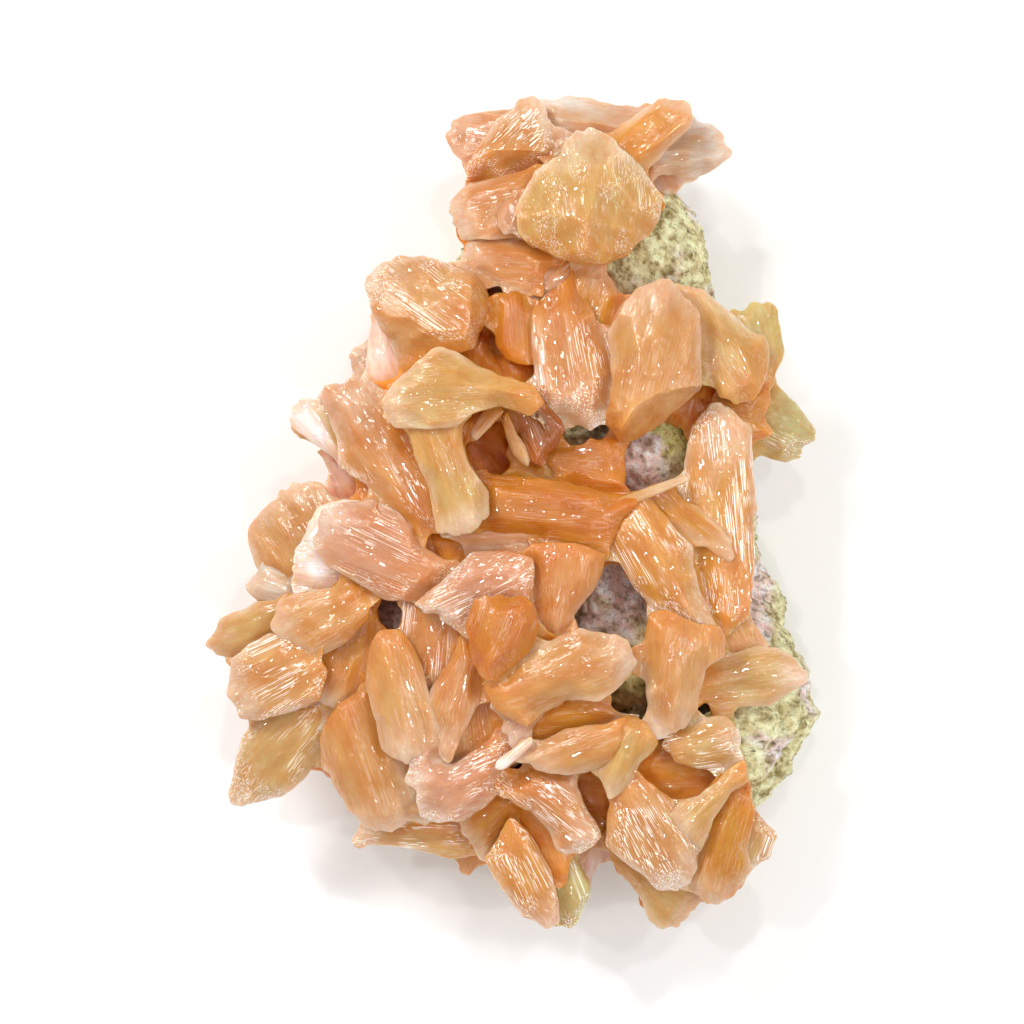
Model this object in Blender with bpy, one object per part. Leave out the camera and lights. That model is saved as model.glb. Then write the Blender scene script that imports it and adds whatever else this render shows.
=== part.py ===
"""Stilbite on mordenite: a hand-size cabinet specimen, lying on the sawn back of its rock.

Sizes are in millimetres until an object is made, then in metres. X runs to the right and Y up the
specimen as it is seen from the front. Z runs out of its face, from the sawn back at z = 0.
"""

import math
from collections import namedtuple

import bmesh
import bpy
import numpy as np
from mathutils import Vector, geometry, noise

MM = 0.001
GAP = 0.45            # clear space between the crystals' sockets and the rock, before facets eat into it
FINEST_BEND = 0.8     # an outline's bends smaller than this are left out
FLATTEST_EDGE = math.radians(3.5)    # edges with less of a turn than this are left out too
DOME_RADIUS = 210.0   # the faces turn away from the middle of the cluster like those on a ball this big
BELLY = 0.34          # share of its depth at which a crystal's side turns in towards its root
BELLY_IN = 0.4        # how far the side has come in by then
ROOT_CLEAR = 0.8      # least drop from a crystal's belly to its root

ROCK_POINTS = 44      # points round the rock
ROCK_LUMP = 2.4       # height of the rock's lumps
ROCK_LUMP_SIZE = 13.0
ROCK_PIT = 0.9        # height of the smaller knobs on them
ROCK_PIT_SIZE = 5.0
# How far each level of the rock reaches from its spine, and its height
ROCK_LEVELS = [(0.90, 0.0), (0.97, 3.0), (1.00, 9.0), (0.98, 15.0), (0.93, 19.5), (0.82, 22.5),
               (0.64, 24.5), (0.42, 25.5), (0.20, 26.0)]
ROCK_SPINE = [(14, 46), (13, 20), (8, -8), (8, -44)]
# Where the crust bulges up between the crystals: x, y, reach and rise
ROCK_SWELLS = [(25, 46, 13, 8), (24, 9, 9, 8), (15, -14, 11, 7), (9, 14, 7, 8), (43, -36, 13, 6),
               (21, -29, 9, 7), (-20, -18, 7, 9), (-25, -30, 6, 6)]
ROCK_RIM = [
    (16.6, 57.8), (23.8, 57.4), (28.6, 51.2), (31.0, 48.0), (32.4, 42.0), (32.9, 36.8), (35.0, 30.4),
    (38.5, 23.4), (39.5, 13.8), (39.5, 2.0), (40.8, -7.9), (44.2, -14.6), (46.2, -21.0), (47.6, -24.4),
    (50.0, -30.0), (50.8, -34.2), (49.9, -37.6), (47.4, -40.0), (44.6, -44.6), (41.4, -48.2),
    (37.0, -52.0), (30.0, -57.0), (20.0, -58.5), (8.0, -54.0), (-7.0, -51.0), (-18.0, -46.5),
    (-26.0, -37.0), (-32.5, -29.0), (-34.0, -17.0), (-28.0, -7.0), (-25.5, 5.0), (-21.5, 18.0),
    (-17.0, 29.0), (-10.0, 38.0), (-5.5, 48.0), (3.0, 58.0)]

# A crystal is a tabular blade. height is that of its face's middle, and tilt is how its face rises to the
# right and up. Its sides go down by depth to root, where it is waist times as wide as its face. face is
# the outline, whose points may have a rise of their own, and ridges are the lines where its facets meet.
Crystal = namedtuple("Crystal", "name height tilt root depth waist face ridges")

TOP = [
    ("pink.1", 31, (.25, .1), (0, 60), 12, .6,
     [(-11.5, 63), (-10, 64), (-10, 65.4), (-8, 66.4), (-4.5, 66.9), (0, 66), (2, 62), (-2, 58), (-7, 57.2),
      (-9.2, 59.2)], [[(-7.5, 65, .4), (-8, 60, .5)]]),
    ("grey.1", 27, (0, 0), (0, 63), 7, .7,
     [(-8.5, 65), (-8, 66.5), (-4, 67.4), (-.5, 67.5), (2, 66.5), (1, 63.5), (-5, 63)], []),
    ("peach.1", 38, (0, .05), (2, 59), 16, .6,
     [(-7.6, 57.6, -.8), (-6.5, 59.6), (-4.8, 62), (-2.4, 65.6), (.4, 67.3), (1.2, 69), (3.6, 69.6),
      (5.6, 68), (6.5, 65), (7, 61), (6, 58, -2), (1, 56.6, -3), (-5, 55.2, -3.6), (-7, 54.6, -3.6)],
     [[(-6, 58.8, .5), (-3, 60.2, .8), (1.5, 60.2, 1.2), (5.6, 60, .8)]]),
    ("pink.2", 37.5, (0, 0), (7, 61), 10, .7, [(6, 64), (8.5, 64), (9.2, 61), (7.5, 58.6), (5.5, 60)], []),
    ("grey.2", 31, (0, 0), (12, 60), 10, .7,
     [(5.5, 68), (7, 69.1), (9.2, 69.9), (11.2, 69.7), (17, 68.3), (22.6, 67.6), (21, 63, -1),
      (15.6, 61.4, -1.4), (11, 61, -1.4), (6, 63, -.5)], [[(7.4, 65.4, .6), (13, 65.2, 1.2),
      (18.6, 64, .8)]]),
    ("orange.1", 38.5, (.16, .1), (17, 56), 14, .55,
     [(15.5, 62.5), (23, 67.9), (24.2, 69), (26, 69.1), (30, 68), (30.4, 66.8), (29.6, 63.8),
      (26, 60.4, -1.2), (23.6, 57.8, -2), (21.5, 56.2, -2), (17, 55), (14, 58)],
     [[(20, 58.8, .6), (25, 61.8, .7), (28.4, 64.6, .4)]]),
    ("grey.3", 31, (-.05, 0), (21, 60), 11, .6,
     [(22, 57), (20, 60), (24, 64.5), (30, 65.7), (33, 65.3), (34.6, 63.8), (36.4, 60.9), (36.6, 59.8),
      (35, 58.2, -.6), (32, 56.4, -1), (29.4, 55.5, -1), (27, 56.2, -1)],
     [[(24, 60.2, 1), (30, 60.4, 1.2), (35, 60.2, .4)]]),
    ("cream.1", 46, (-.04, .04), (13, 50), 26, .55,
     [(3.5, 56.5), (8, 59.6), (9, 62), (11, 63.2), (13.2, 63.6), (15, 63.1), (18.2, 60.4), (21.2, 57.6),
      (23, 55.2), (25, 52.2, -1.5), (24.6, 48.5, -3.5), (22.6, 45.8, -4.5), (19.5, 43.8, -4.5),
      (15.5, 41, -4),
      (12, 40.8, -3), (7, 42.4, -1.5), (2.5, 44.5, -1), (1, 46), (.6, 49.6), (1.3, 52.2)],
     [[(17, 59.4, .6), (14, 54, 1.6), (12.5, 48.5, 2), (12, 43.6, .6)]]),
    ("salmon.1", 40, (.12, 0), (4, 50), 18, .6,
     [(-10.4, 52), (-9, 53.4), (-7, 54.7), (-2, 55.8), (3.7, 57.4), (5, 54), (4, 46), (-2, 45.2),
      (-8, 45.2), (-9.5, 47.5), (-10.3, 49.8)], [[(-3, 53.6, .8), (2, 54.2, .8)]]),
    ("pink.3", 42.5, (.1, 0), (2, 49), 10, .7,
     [(-2.4, 49.8), (-1.2, 52), (1.5, 52.8), (2.5, 49.5), (1.5, 46.8), (-1.2, 46), (-2.6, 47.5)], []),
    ("salmon.2", 40, (0, .16), (3, 46), 16, .6,
     [(-7.9, 45), (-2, 45.8), (3.8, 44.8), (6.6, 42.8), (8, 41.8), (6, 40.4), (4.6, 38), (2.2, 36.5),
      (-2.1, 37.8), (-5.4, 40), (-7.7, 40.9)], [[(-5, 43.2, .4), (3, 42.4, .8)]]),
    ("grey.4", 34, (0, 0), (-2, 40), 10, .7,
     [(-10.2, 41), (-8, 42.3), (-5, 42.8), (-1, 38.5), (0, 36.8), (-3, 36.6), (-7, 39.8)], []),
    ("pink.4", 38, (0, 0), (8, 40), 12, .7,
     [(6, 41), (8, 43.5), (12.5, 43), (11, 41), (9.6, 38.8), (7.1, 37), (4.6, 35.3), (3.4, 34.8),
     (2.3, 36.2)],
     []),
    ("deep.1", 32, (0, 0), (9, 53), 12, .8,
     [(-2, 60), (6, 63), (14, 62), (22, 58), (24, 50), (20, 43), (10, 40), (0, 42), (-5, 48)], []),
]

UPPER = [
    ("peach.2", 45, (.05, -.05), (-8, 30), 24, .5,
     [(-23.8, 39.5), (-22, 41), (-18.8, 42.3), (-14.6, 42.9), (-10, 41), (-7, 40.1), (-5.4, 38.6, -1),
      (-4, 36.5, -3), (-3.6, 33.5, -4), (-5.4, 29.5, -3), (-6, 27, -2), (-10, 26), (-13.5, 26.4, -.8),
      (-17.9, 22.8, -4), (-20.4, 28, -2.5), (-23, 32.2, -.6), (-24, 35.5), (-24.2, 37.4)],
     [[(-20.5, 32.4, .6), (-16.5, 32.2, 1), (-14.3, 30, 1), (-13, 28.2, .4)], [(-6.8, 38, 1),
     (-7, 31, .8)]]),
    ("deep.2", 36, (0, 0), (-3, 28), 12, .8,
     [(-5.4, 39), (-2.5, 38.5), (-1.5, 35), (-2, 28), (0, 25.5), (3.6, 25), (3.4, 20.5), (-2, 20.5),
     (-7, 24),
      (-10, 27), (-6, 30)], []),
    ("rose.1", 41.5, (0, 0), (.5, 28), 14, .8,
     [(-2.6, 34.4), (-1.6, 36), (0, 36.8), (1.4, 36.6), (2.8, 34.8), (3, 31), (3, 27), (2.2, 25.2),
     (1, 24.6),
      (-1.4, 25.6), (-2.8, 28)], [[(-1, 34, .4), (-.6, 27.5, .5)]]),
    ("salmon.3", 44, (0, -.16), (9, 36), 16, .55,
     [(3.3, 33.6), (4.6, 35.5), (7.1, 37.2), (10.8, 40.4), (12.4, 36), (14.6, 30.4), (16.8, 25.2),
      (16.2, 21), (15.6, 16.8, -.8), (14.6, 15.2, -2.4), (13, 13.8, -3.6), (11.2, 13.8, -3.6),
      (7.9, 15.6, -2.6),
      (5.4, 17.4, -1.6), (4, 19.3, -.6), (3.2, 27.9)],
     [[(5.6, 20.2, .3), (9.4, 19.4, .7), (14, 20, .4)], [(9, 33, .5), (12.6, 26, .7)]]),
    ("amber.1", 39, (0, 0), (13, 33), 14, .7,
     [(10.8, 40.5), (13, 41.2), (16.2, 39.1), (17.6, 37), (18.3, 34.8), (16.6, 31.8), (15.4, 29), (11, 28),
      (8, 34), (9, 38)], []),
    ("peach.3", 47, (0, 0), (22, 22), 22, .55,
     [(20, 36.8), (22, 37.8), (24.6, 38.9), (26, 38.7), (28.2, 36), (29.6, 35), (31, 33), (31.5, 30.4),
      (31.5, 21, -.8), (30.2, 19.5, -3), (24, 14.1, -5), (21.5, 12.5, -5), (17.9, 11.4, -4),
      (15.4, 14.6, -2),
      (16.5, 20.4), (16.3, 26), (15.7, 29.6), (19, 35.4)],
     [[(30.4, 21, .2), (24, 19.6, .8), (20.5, 17.6, .6), (18, 13.8, 0)], [(25, 37, .4), (23.4, 29, 1.2),
                                                                         (24, 21.4, .9)]]),
    ("tan.1", 38.5, (-.05, 0), (36, 24), 16, .6,
     [(27, 37.4), (31, 37.7), (33.3, 35.8), (37.5, 32.4), (40.4, 29.9), (42.2, 29.3), (42.9, 27.5),
      (42.6, 23), (41.4, 20), (39.6, 18.4, -1.5), (34.4, 19), (33.3, 22), (32.6, 27), (31.6, 30.5)],
     [[(40.8, 27.8, .5), (40, 22, .7)]]),
    ("green.1", 29, (0, 0), (40, 27), 9, .7,
     [(37.5, 32.6), (39.6, 34.9), (41, 35.3), (42.2, 34.9), (43.2, 35.2), (44.8, 33.6), (44.6, 31.6),
      (45.3, 29.4), (45.6, 27.2), (45, 25), (43.4, 22.1), (41, 22), (38, 28)], []),
    ("green.2", 26, (-.1, 0), (41, 16), 10, .7,
     [(43.4, 22), (45.4, 20.8), (47.5, 18.3), (50, 15.4), (51.3, 13.4), (50.6, 12), (48.8, 10.8, -.5),
      (48.2, 9.4, -.8), (46.5, 8, -1), (43, 9.2, -1), (38, 10.8), (37, 15), (40, 20)],
     [[(42, 14, .5), (46, 12.6, .8), (49, 12.2, .3)]]),
    ("orange.2", 32, (0, 0), (40, 16), 11, .7,
     [(34, 19), (39, 20.5), (43, 22), (43.4, 18), (42, 16), (44, 13.2), (42, 12.2), (37, 12),
     (35, 16)], []),
    ("deep.3", 32, (0, 0), (33, 20), 12, .8,
     [(30, 31), (32.5, 28), (34, 22), (36, 18.5), (33, 16), (29.4, 13), (27, 14), (24, 15.6),
     (25, 20)], []),
    ("orange.3", 39, (0, .02), (35, -6), 16, .7,
     [(31, 16), (33.2, 18), (35.9, 17.9), (40, 13.8), (40.1, 8), (40.6, 2), (40.8, 0), (40.1, -1.3),
      (40.6, -7.5), (39.9, -12), (39.6, -18), (36, -20), (33, -16), (31, -8), (29, -1), (28.4, 2.1),
      (28.7, 8), (29.6, 13.4)], [[(31.6, 14, .5), (31, 4, .9), (32, 0, .3)], [(38.8, 12, .4),
      (39, -10, .5)]]),
    ("peach.4", 40.5, (0, 0), (27, 2), 10, .6,
     [(23, 2), (28.4, 2.1), (31.5, .8), (34.4, -1.6), (36.5, -5), (37.2, -7.4), (36, -8.4), (33.5, -7),
      (31, -4.5), (25, -.5)], []),
    ("deep.4", 33, (0, 0), (32, -8), 14, .9,
     [(24, 0), (30, -2), (36, -7), (38.5, -13), (40, -17), (38, -23), (32, -21), (29, -14), (27, -6)], []),
    ("pale.1", 45.5, (-.06, .02), (17, 1.2), 2.4, .8,
     [(15.5, .4), (16, 1.9), (28.8, 6.3), (29.5, 5.6), (29, 4.9), (17.5, .2)], []),
    ("orange.4", 44.5, (.03, .02), (19, -2), 18, .5,
     [(16.4, -5.4), (16.2, -1), (18, 1.6), (21.2, 2.6), (23, 2.1), (25.5, -.5), (28, -3.8), (30, -5.6),
      (30.3, -9), (31.3, -13), (33, -16), (32.6, -17.4), (31.4, -19.3), (30, -19.8), (25.4, -16.8),
      (22.9, -15.8), (20.4, -13), (18, -8.8)], [[(20, -2, .6), (25, -8, 1.3), (29.4, -15.5, .8)]]),
    ("amber.2", 47.5, (0, 0), (12, 0), 16, .7,
     [(-5, 6.4), (.5, 5.8), (8, 5.2), (16.2, 3), (20, 3.2), (21, 1.4), (18, -1.6), (16.5, -5.4),
      (15.4, -7), (10.5, -5.5), (4.6, -4.2), (-.4, -3.8), (-5, -3)], [[(-2, 3.2, .8), (8, 2, 1.2),
      (15, .2, .5)]]),
    ("rose.2", 46, (0, .03), (10, -4), 12, .6,
     [(-12.2, -3.8), (-4, 0), (6, -.8), (14.5, -2.8), (16.3, -5.4), (15.8, -7.2), (8, -5.4), (1, -5.2),
      (-7.1, -5.8)], []),
    ("pink.5", 40.5, (0, 0), (15, 7), 12, .6,
     [(4.3, 8), (5.4, 9), (6.6, 10.5), (9.6, 10.8), (14.6, 12), (17.4, 12.2), (18.6, 10.2), (19.1, 6.2),
      (18, 3), (13, 3), (10.5, 4), (6, 6.8)], [[(6.8, 9.2, .5), (12, 8.6, .8), (15.4, 10, .4)]]),
]

CENTRE = [
    ("cream.2", 56, (-.1, 0), (-6, 20), 26, .6,
     [(-21.8, 17), (-20, 20.5), (-16.7, 23.6), (-13.3, 26.8), (-11.6, 27.4), (-9.6, 26.6), (-5.4, 24.1),
      (-2, 22.6), (3.7, 20.8), (5.4, 18), (3, 15.6), (-2, 17.4), (-7, 16), (-9, 14), (-13, 13.6),
      (-17, 13.6), (-19.5, 13.8)], [[(-16.5, 21, .4), (-9, 21.6, 1.4), (0, 19.6, .8)]]),
    ("amber.3", 46, (-.1, 0), (4, 18), 16, .7,
     [(-1, 20.5), (3.7, 21), (6, 17.3), (8.2, 15.4), (8.8, 13), (6.8, 10.4), (5, 7.6), (2.4, 8.5), (1, 13),
      (-1, 18)], []),
    ("cream.3", 54, (0, .1), (-9, 12), 24, .6,
     [(-17.2, 14.6), (-12, 17), (-7.8, 16.6), (-8.2, 12), (-7.4, 8.5), (-5.4, 5.5), (-3.8, 3.5),
     (-3.8, -.5),
      (-5, -2), (-7.1, -3.4), (-9.5, -3.8), (-12.6, -2.9), (-13.5, 2.1), (-14.3, 5.4), (-16.3, 9.6)],
     [[(-13.4, 13, .4), (-11.6, 6, 1), (-9, -.6, .8)]]),
    ("pale.2", 48.5, (.05, .1), (-3, 17), 4, .8,
     [(-7.1, 13.4), (-6.7, 12), (-6, 11.6), (-4, 13.6), (-1.2, 16.6), (-2.4, 18), (-4.2, 17.4)], []),
    ("pale.3", 46.5, (0, .2), (0, 15), 4, .8,
     [(-1.7, 16), (-.8, 17), (.8, 13), (2.3, 11), (3.1, 8.8), (2.6, 7.2), (0, 9.6), (-.9, 12)], []),
    ("ember.1", 35, (0, 0), (-3, 10), 10, .9, [(-9, 16), (0, 17), (3, 9), (1, 4), (-6, 4), (-10, 8)], []),
    ("amber.4", 41, (0, 0), (3, 6), 12, .7, [(-.4, 9.6), (0, 5), (5, 3.6), (9, 4.4), (7, 8.4),
    (3, 9.6)], []),
]

LEFT = [
    ("salmon.4", 45, (.06, 0), (-15, 2), 20, .5,
     [(-31.8, 19.2), (-30.8, 20.8), (-28, 21.4), (-24, 22.2), (-22.1, 20.8), (-18, 19), (-16, 12),
      (-12, 4), (-12, -3), (-15.4, -4.6), (-17.5, -1.5), (-22.4, 3), (-27, 6.3), (-28.6, 7.5),
      (-28.9, 11.2), (-30.4, 15.8)], [[(-28.4, 17, .6), (-21.6, 8, 1.3), (-16, 1, .8)]]),
    ("pale.4", 35, (.1, 0), (-29, 10), 10, .6,
     [(-37.1, 15.4), (-36.9, 17.1), (-35.8, 18.4), (-33, 19.3), (-31, 19.6), (-29, 15.5), (-27, 9),
      (-28.4, 7.8), (-32, 10.5), (-36.3, 13.8)], [[(-34.6, 16.6, .5), (-30, 10.6, .5)]]),
    ("tan.2", 31, (0, 0), (-33, 14), 6, .8, [(-36.6, 13.8), (-35.6, 12.2), (-34, 12.2), (-32, 13),
    (-34, 15.4)], []),
    ("grey.5", 35, (0, 0), (-29, 18), 8, .7,
     [(-33.2, 18.5), (-32, 20.2), (-29.6, 21.5), (-27, 21), (-27, 16), (-31, 16.4)], []),
    ("tan.3", 39, (.1, 0), (-29, 14), 8, .7,
     [(-32.7, 16.8), (-31.5, 18.2), (-29, 16), (-27.6, 12), (-29, 10.4), (-31.6, 14.8)], []),
    ("pale.5", 26, (0, 0), (-27, 6), 8, .7,
     [(-31.8, 9.9), (-29.6, 8.8), (-26, 8.6), (-25, 3), (-28.6, 2.2), (-29.6, 5.2), (-31, 7.4)], []),
    ("pale.6", 36, (0, .1), (-20, 27), 14, .6,
     [(-24.2, 27.6), (-23.6, 31), (-22.8, 32.6), (-19, 30), (-16, 23), (-18, 20), (-22, 20.4),
     (-24.4, 22.6)],
     [[(-22, 29, .3), (-20.5, 23, .5)]]),
    ("grey.6", 31, (0, 0), (-22, 26), 10, .7,
     [(-27, 26), (-26.7, 27.4), (-24.5, 28.6), (-22, 29.5), (-20.5, 24), (-23, 21.5), (-26.2, 22),
     (-27.2, 24)],
     []),
    ("rose.3", 46.5, (.05, -.03), (-13, -8), 14, .55,
     [(-32.9, -3), (-32.1, .5), (-27.6, 1.6), (-22.8, 2.1), (-19.6, .8), (-17, -2), (-15.4, -5.6),
      (-9.6, -8.6), (-11, -11.5), (-15.4, -14.8), (-21.2, -14.8), (-25.4, -11.8), (-31.2, -8.8),
      (-32.8, -6)], [[(-30.6, -.9, .4), (-24, -2.4, 1.3), (-17, -6, 1.3), (-12.4, -9, .6)]]),
    ("pale.7", 43.5, (.04, 0), (-28, 0), 6, .8,
     [(-35, -4.6), (-33.9, -2.6), (-32.4, .9), (-27.6, 2.3), (-26, .6), (-30, -4), (-33, -5.4)], []),
    ("pale.8", 39, (.05, 0), (-28, -9), 11, .6,
     [(-36.6, -7.8), (-35.4, -5), (-33, -3.2), (-30, -3), (-27, -8), (-25.6, -11), (-27.6, -12.9),
      (-31.5, -13.1), (-35.6, -12.2), (-36.7, -11)], [[(-34.6, -6.8, .4), (-30, -6.4, .6)]]),
    ("peach.5", 35, (.14, -.05), (-33, -10), 16, .5,
     [(-44.1, -3.8), (-43.6, -1.8), (-42.2, .4), (-37, 4.7), (-33.7, 4.9), (-31.8, 4.8), (-29.6, 2),
      (-28, -6), (-31, -13.4), (-36, -14), (-40.4, -11.4), (-42.7, -9.6), (-43.7, -6)],
     [[(-40.5, .2, .6), (-37.4, -4, 1.1), (-37.6, -10, .6)]]),
    ("grey.7", 34, (.1, 0), (-37, -13.6), 7, .7,
     [(-44.9, -12.7), (-42.4, -10), (-40.6, -9.8), (-37.1, -12.8), (-35, -14.3), (-36, -15.4),
     (-42.4, -14.9)],
     [[(-42.6, -12, .4), (-38, -13.6, .5)]]),
    ("tan.4", 34, (.12, 0), (-38, -17), 10, .5,
     [(-51.2, -22.4), (-50.3, -20.4), (-48.8, -17.8), (-45.4, -16.3), (-42.4, -14.9), (-37, -14.6),
      (-34, -16), (-36, -20), (-41.5, -21.5), (-45.2, -24.1), (-47.2, -24.2), (-51, -23.2)],
     [[(-49, -21, .4), (-43, -18.4, 1), (-38, -16.4, .5)]]),
    ("peach.6", 42, (.05, 0), (-28, -15), 18, .6,
     [(-38.4, -14), (-30, -12.6), (-26, -11.6), (-23.4, -14), (-23.6, -17.5), (-27, -21.5), (-31, -23.6),
      (-34.5, -25), (-37.6, -22.5), (-40.4, -18.8)], [[(-36.6, -16.6, .4), (-31, -20, 1),
      (-28, -15.4, .8)]]),
    ("orange.5", 38, (0, 0), (-27, -21), 16, .8,
     [(-27, -12.6), (-23, -15), (-22.2, -17.5), (-23, -21), (-24.4, -26), (-26, -30.4), (-30, -33),
      (-34.6, -29), (-32, -21)], [[(-29, -20, .3), (-30, -28, .8)]]),
    ("peach.7", 39, (.07, .02), (-33, -24), 18, .6,
     [(-47.6, -28), (-46.8, -24.4), (-43.6, -22), (-40, -20), (-34, -22.4), (-30.4, -26), (-32, -31.4),
      (-37, -33.4), (-42.2, -34.7), (-44.8, -34.5), (-47.2, -30.6)],
     [[(-44, -30.6, .4), (-37, -31.4, .5)], [(-43, -24, .5), (-37, -25.6, .8)]]),
    ("amber.5", 36.5, (0, 0), (-28, -30), 12, .7,
     [(-30, -28), (-26.4, -28), (-25.9, -30.6), (-27, -33), (-32, -35.4), (-33, -31)], []),
    ("tan.5", 31, (.1, .1), (-36, -34), 12, .5,
     [(-47.4, -49), (-47.3, -47), (-46.6, -42.6), (-45.2, -37.6), (-42.2, -34.6), (-36, -32), (-31, -31.5),
      (-31, -36), (-32.1, -41), (-35, -45), (-38.5, -47.8), (-42, -48.4), (-45.4, -49.4)],
     [[(-44.6, -46, .4), (-38.6, -39.6, 1), (-34.4, -35, .7)]]),
]

LOWER = [
    ("peach.8", 38, (.02, .05), (-26, -38), 16, .6,
     [(-32.2, -38), (-30.6, -34.2), (-28.6, -31.8), (-25, -29.6), (-21, -31), (-20, -38), (-18, -44),
      (-14.6, -50), (-19, -53), (-24.3, -53.3), (-27.8, -49), (-29.8, -45.5), (-30.4, -43.7),
      (-31.8, -42.8)],
     [[(-28, -35.4, .6), (-26.6, -42, 1.2), (-22, -50, .7)]]),
    ("amber.6", 37.5, (0, 0), (-19, -42), 12, .7,
     [(-23, -36), (-19, -38), (-15, -42), (-12, -48), (-14, -52), (-18, -52), (-21, -46)], []),
    ("peach.9", 46, (.03, 0), (-18, -30), 18, .6,
     [(-24.4, -28.4), (-24.2, -24.5), (-23, -21), (-22, -19.4), (-18, -19.6), (-15.4, -24), (-13.6, -30),
      (-12.2, -34), (-11.6, -39), (-14.6, -41.2), (-17.5, -41.6), (-21.6, -39.7), (-22.6, -35),
      (-23.4, -32)],
     [[(-21.4, -22.6, .5), (-19, -30, 1.2), (-17, -38, .9)]]),
    ("salmon.5", 44, (0, 0), (-13, -23), 16, .7,
     [(-18, -15), (-12, -13.6), (-7, -18), (-6.6, -22), (-9, -26), (-12, -30), (-14.4, -31.6),
      (-16, -28.5), (-17.4, -26), (-18.5, -20.5)], [[(-14.6, -17, .6), (-13.4, -27, .8)]]),
    ("salmon.6", 46, (0, -.04), (-9, -29), 16, .6,
     [(-8, -21), (-5.4, -23), (-4.6, -27.2), (-5, -30), (-7, -34.8), (-8.6, -38), (-10, -41.6),
      (-12.4, -40), (-13.7, -34.5), (-14.6, -31.5), (-12, -27)], [[(-7.6, -25, .5), (-10.6, -33, 1)]]),
    ("rose.4", 51, (-.04, -.04), (-2, -11), 14, .6,
     [(-16, -15), (-12, -11.7), (-9.6, -9.4), (-6.8, -6.6), (-.4, -6.2), (3.6, -7.6), (3.8, -12.6),
      (0, -15), (-5, -16), (-8, -19.4), (-9.9, -19.4), (-12.4, -17), (-14.8, -16.6)],
     [[(-12.4, -15, .5), (-6, -10.6, 1), (1, -9.4, .7)]]),
    ("salmon.7", 48, (0, .03), (9, -10), 16, .6,
     [(3, -5), (10.4, -5), (15.9, -7), (14.2, -12), (10.4, -17), (8.8, -20), (6.2, -21.6), (4, -16),
     (2.8, -9.6)],
     [[(5, -7.5, .5), (6.2, -17, .7)], [(12, -8.2, .5), (9.2, -16, .7)]]),
    ("tan.6", 55.5, (0, .04), (-1, -21), 22, .6,
     [(-6.2, -14), (-1.2, -13.9), (2.2, -13.9), (3.6, -15.4), (4.6, -19), (2.8, -23.4), (-2, -27.4),
      (-3.8, -27.9), (-5.4, -27), (-7, -23), (-7.6, -18.8), (-7, -16)],
     [[(-4, -17, .7), (-3.2, -24, 1.2)], [(1, -16.6, .7), (.6, -21, .7)]]),
    ("amber.7", 50, (0, 0), (3.5, -20), 14, .7,
     [(0, -17), (3, -17), (5.2, -18.8), (6.5, -21.4), (4.5, -23), (0, -23)], []),
    ("peach.10", 52.5, (.02, .02), (4, -28), 14, .6,
     [(-4.4, -29.8), (-1, -27.4), (2.9, -23.2), (8.8, -20), (11, -19.2), (14.6, -19.9), (19.2, -21.1),
      (20.6, -24.9), (19.2, -27.6), (16, -30.4), (14.6, -31.3), (9, -31), (5, -33.4), (2.4, -35.8),
      (-3, -32.6)],
     [[(-1, -29.6, .6), (6, -26, 1.3), (12, -23.2, .8)], [(4, -31.4, .5), (12, -28.8, .9), (17, -26, .6)]]),
    ("rose.5", 48, (0, 0), (3, -33), 14, .7,
     [(-2, -32), (3, -30), (7, -30.4), (5, -33.6), (3, -36.4), (.6, -38.2), (-1.6, -36)], []),
    ("orange.6", 42, (0, 0), (-5, -34), 14, .9,
     [(-9, -30), (-4, -28), (1, -32), (1.4, -38), (0, -41), (-4, -42), (-9, -41)], []),
    ("rose.6", 44.5, (0, 0), (-8, -44), 18, .7,
     [(-17, -42.4), (-16.2, -40.4), (-12.4, -41), (-10, -41.8), (-5.4, -39), (-2.8, -36.6), (-.2, -38),
      (.2, -41), (-1.2, -44), (-2, -46.5), (-4.5, -49), (-8, -51.4), (-13, -51.7), (-15.2, -50.8),
      (-16, -46.5), (-17.6, -45)], [[(-14, -44.6, .5), (-7, -48, 1.2)], [(-11, -43, .4), (-4, -41, .8)]]),
    ("rose.7", 29, (0, -.02), (-12, -53), 7, .6,
     [(-26.8, -56.2), (-26.6, -54.4), (-25.2, -53), (-23, -52), (-18.8, -51), (-8, -50.6), (-6, -53),
      (-5.6, -57), (-8, -58), (-11.4, -58), (-15, -56.8), (-18.8, -56.2), (-23.8, -55.6), (-26.2, -56.4)],
     [[(-24, -54.4, .4), (-15, -54, .9), (-9.4, -54.4, .5)]]),
    ("tan.7", 24, (0, 0), (-7.4, -56), 8, .8,
     [(-8.8, -57), (-9, -60), (-8.4, -60.9), (-7.5, -61.3), (-6.7, -60.9), (-5.8, -59), (-5.2, -57),
     (-6.6, -54)],
     []),
    ("amber.8", 35, (0, .04), (-4, -51), 16, .7,
     [(-9.4, -50.6), (-4, -48), (0, -47), (1, -50), (0, -53), (-1.8, -55.4), (-3, -57.4), (-4.8, -57.7),
      (-7, -55.6), (-8.8, -53)], []),
]

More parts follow.
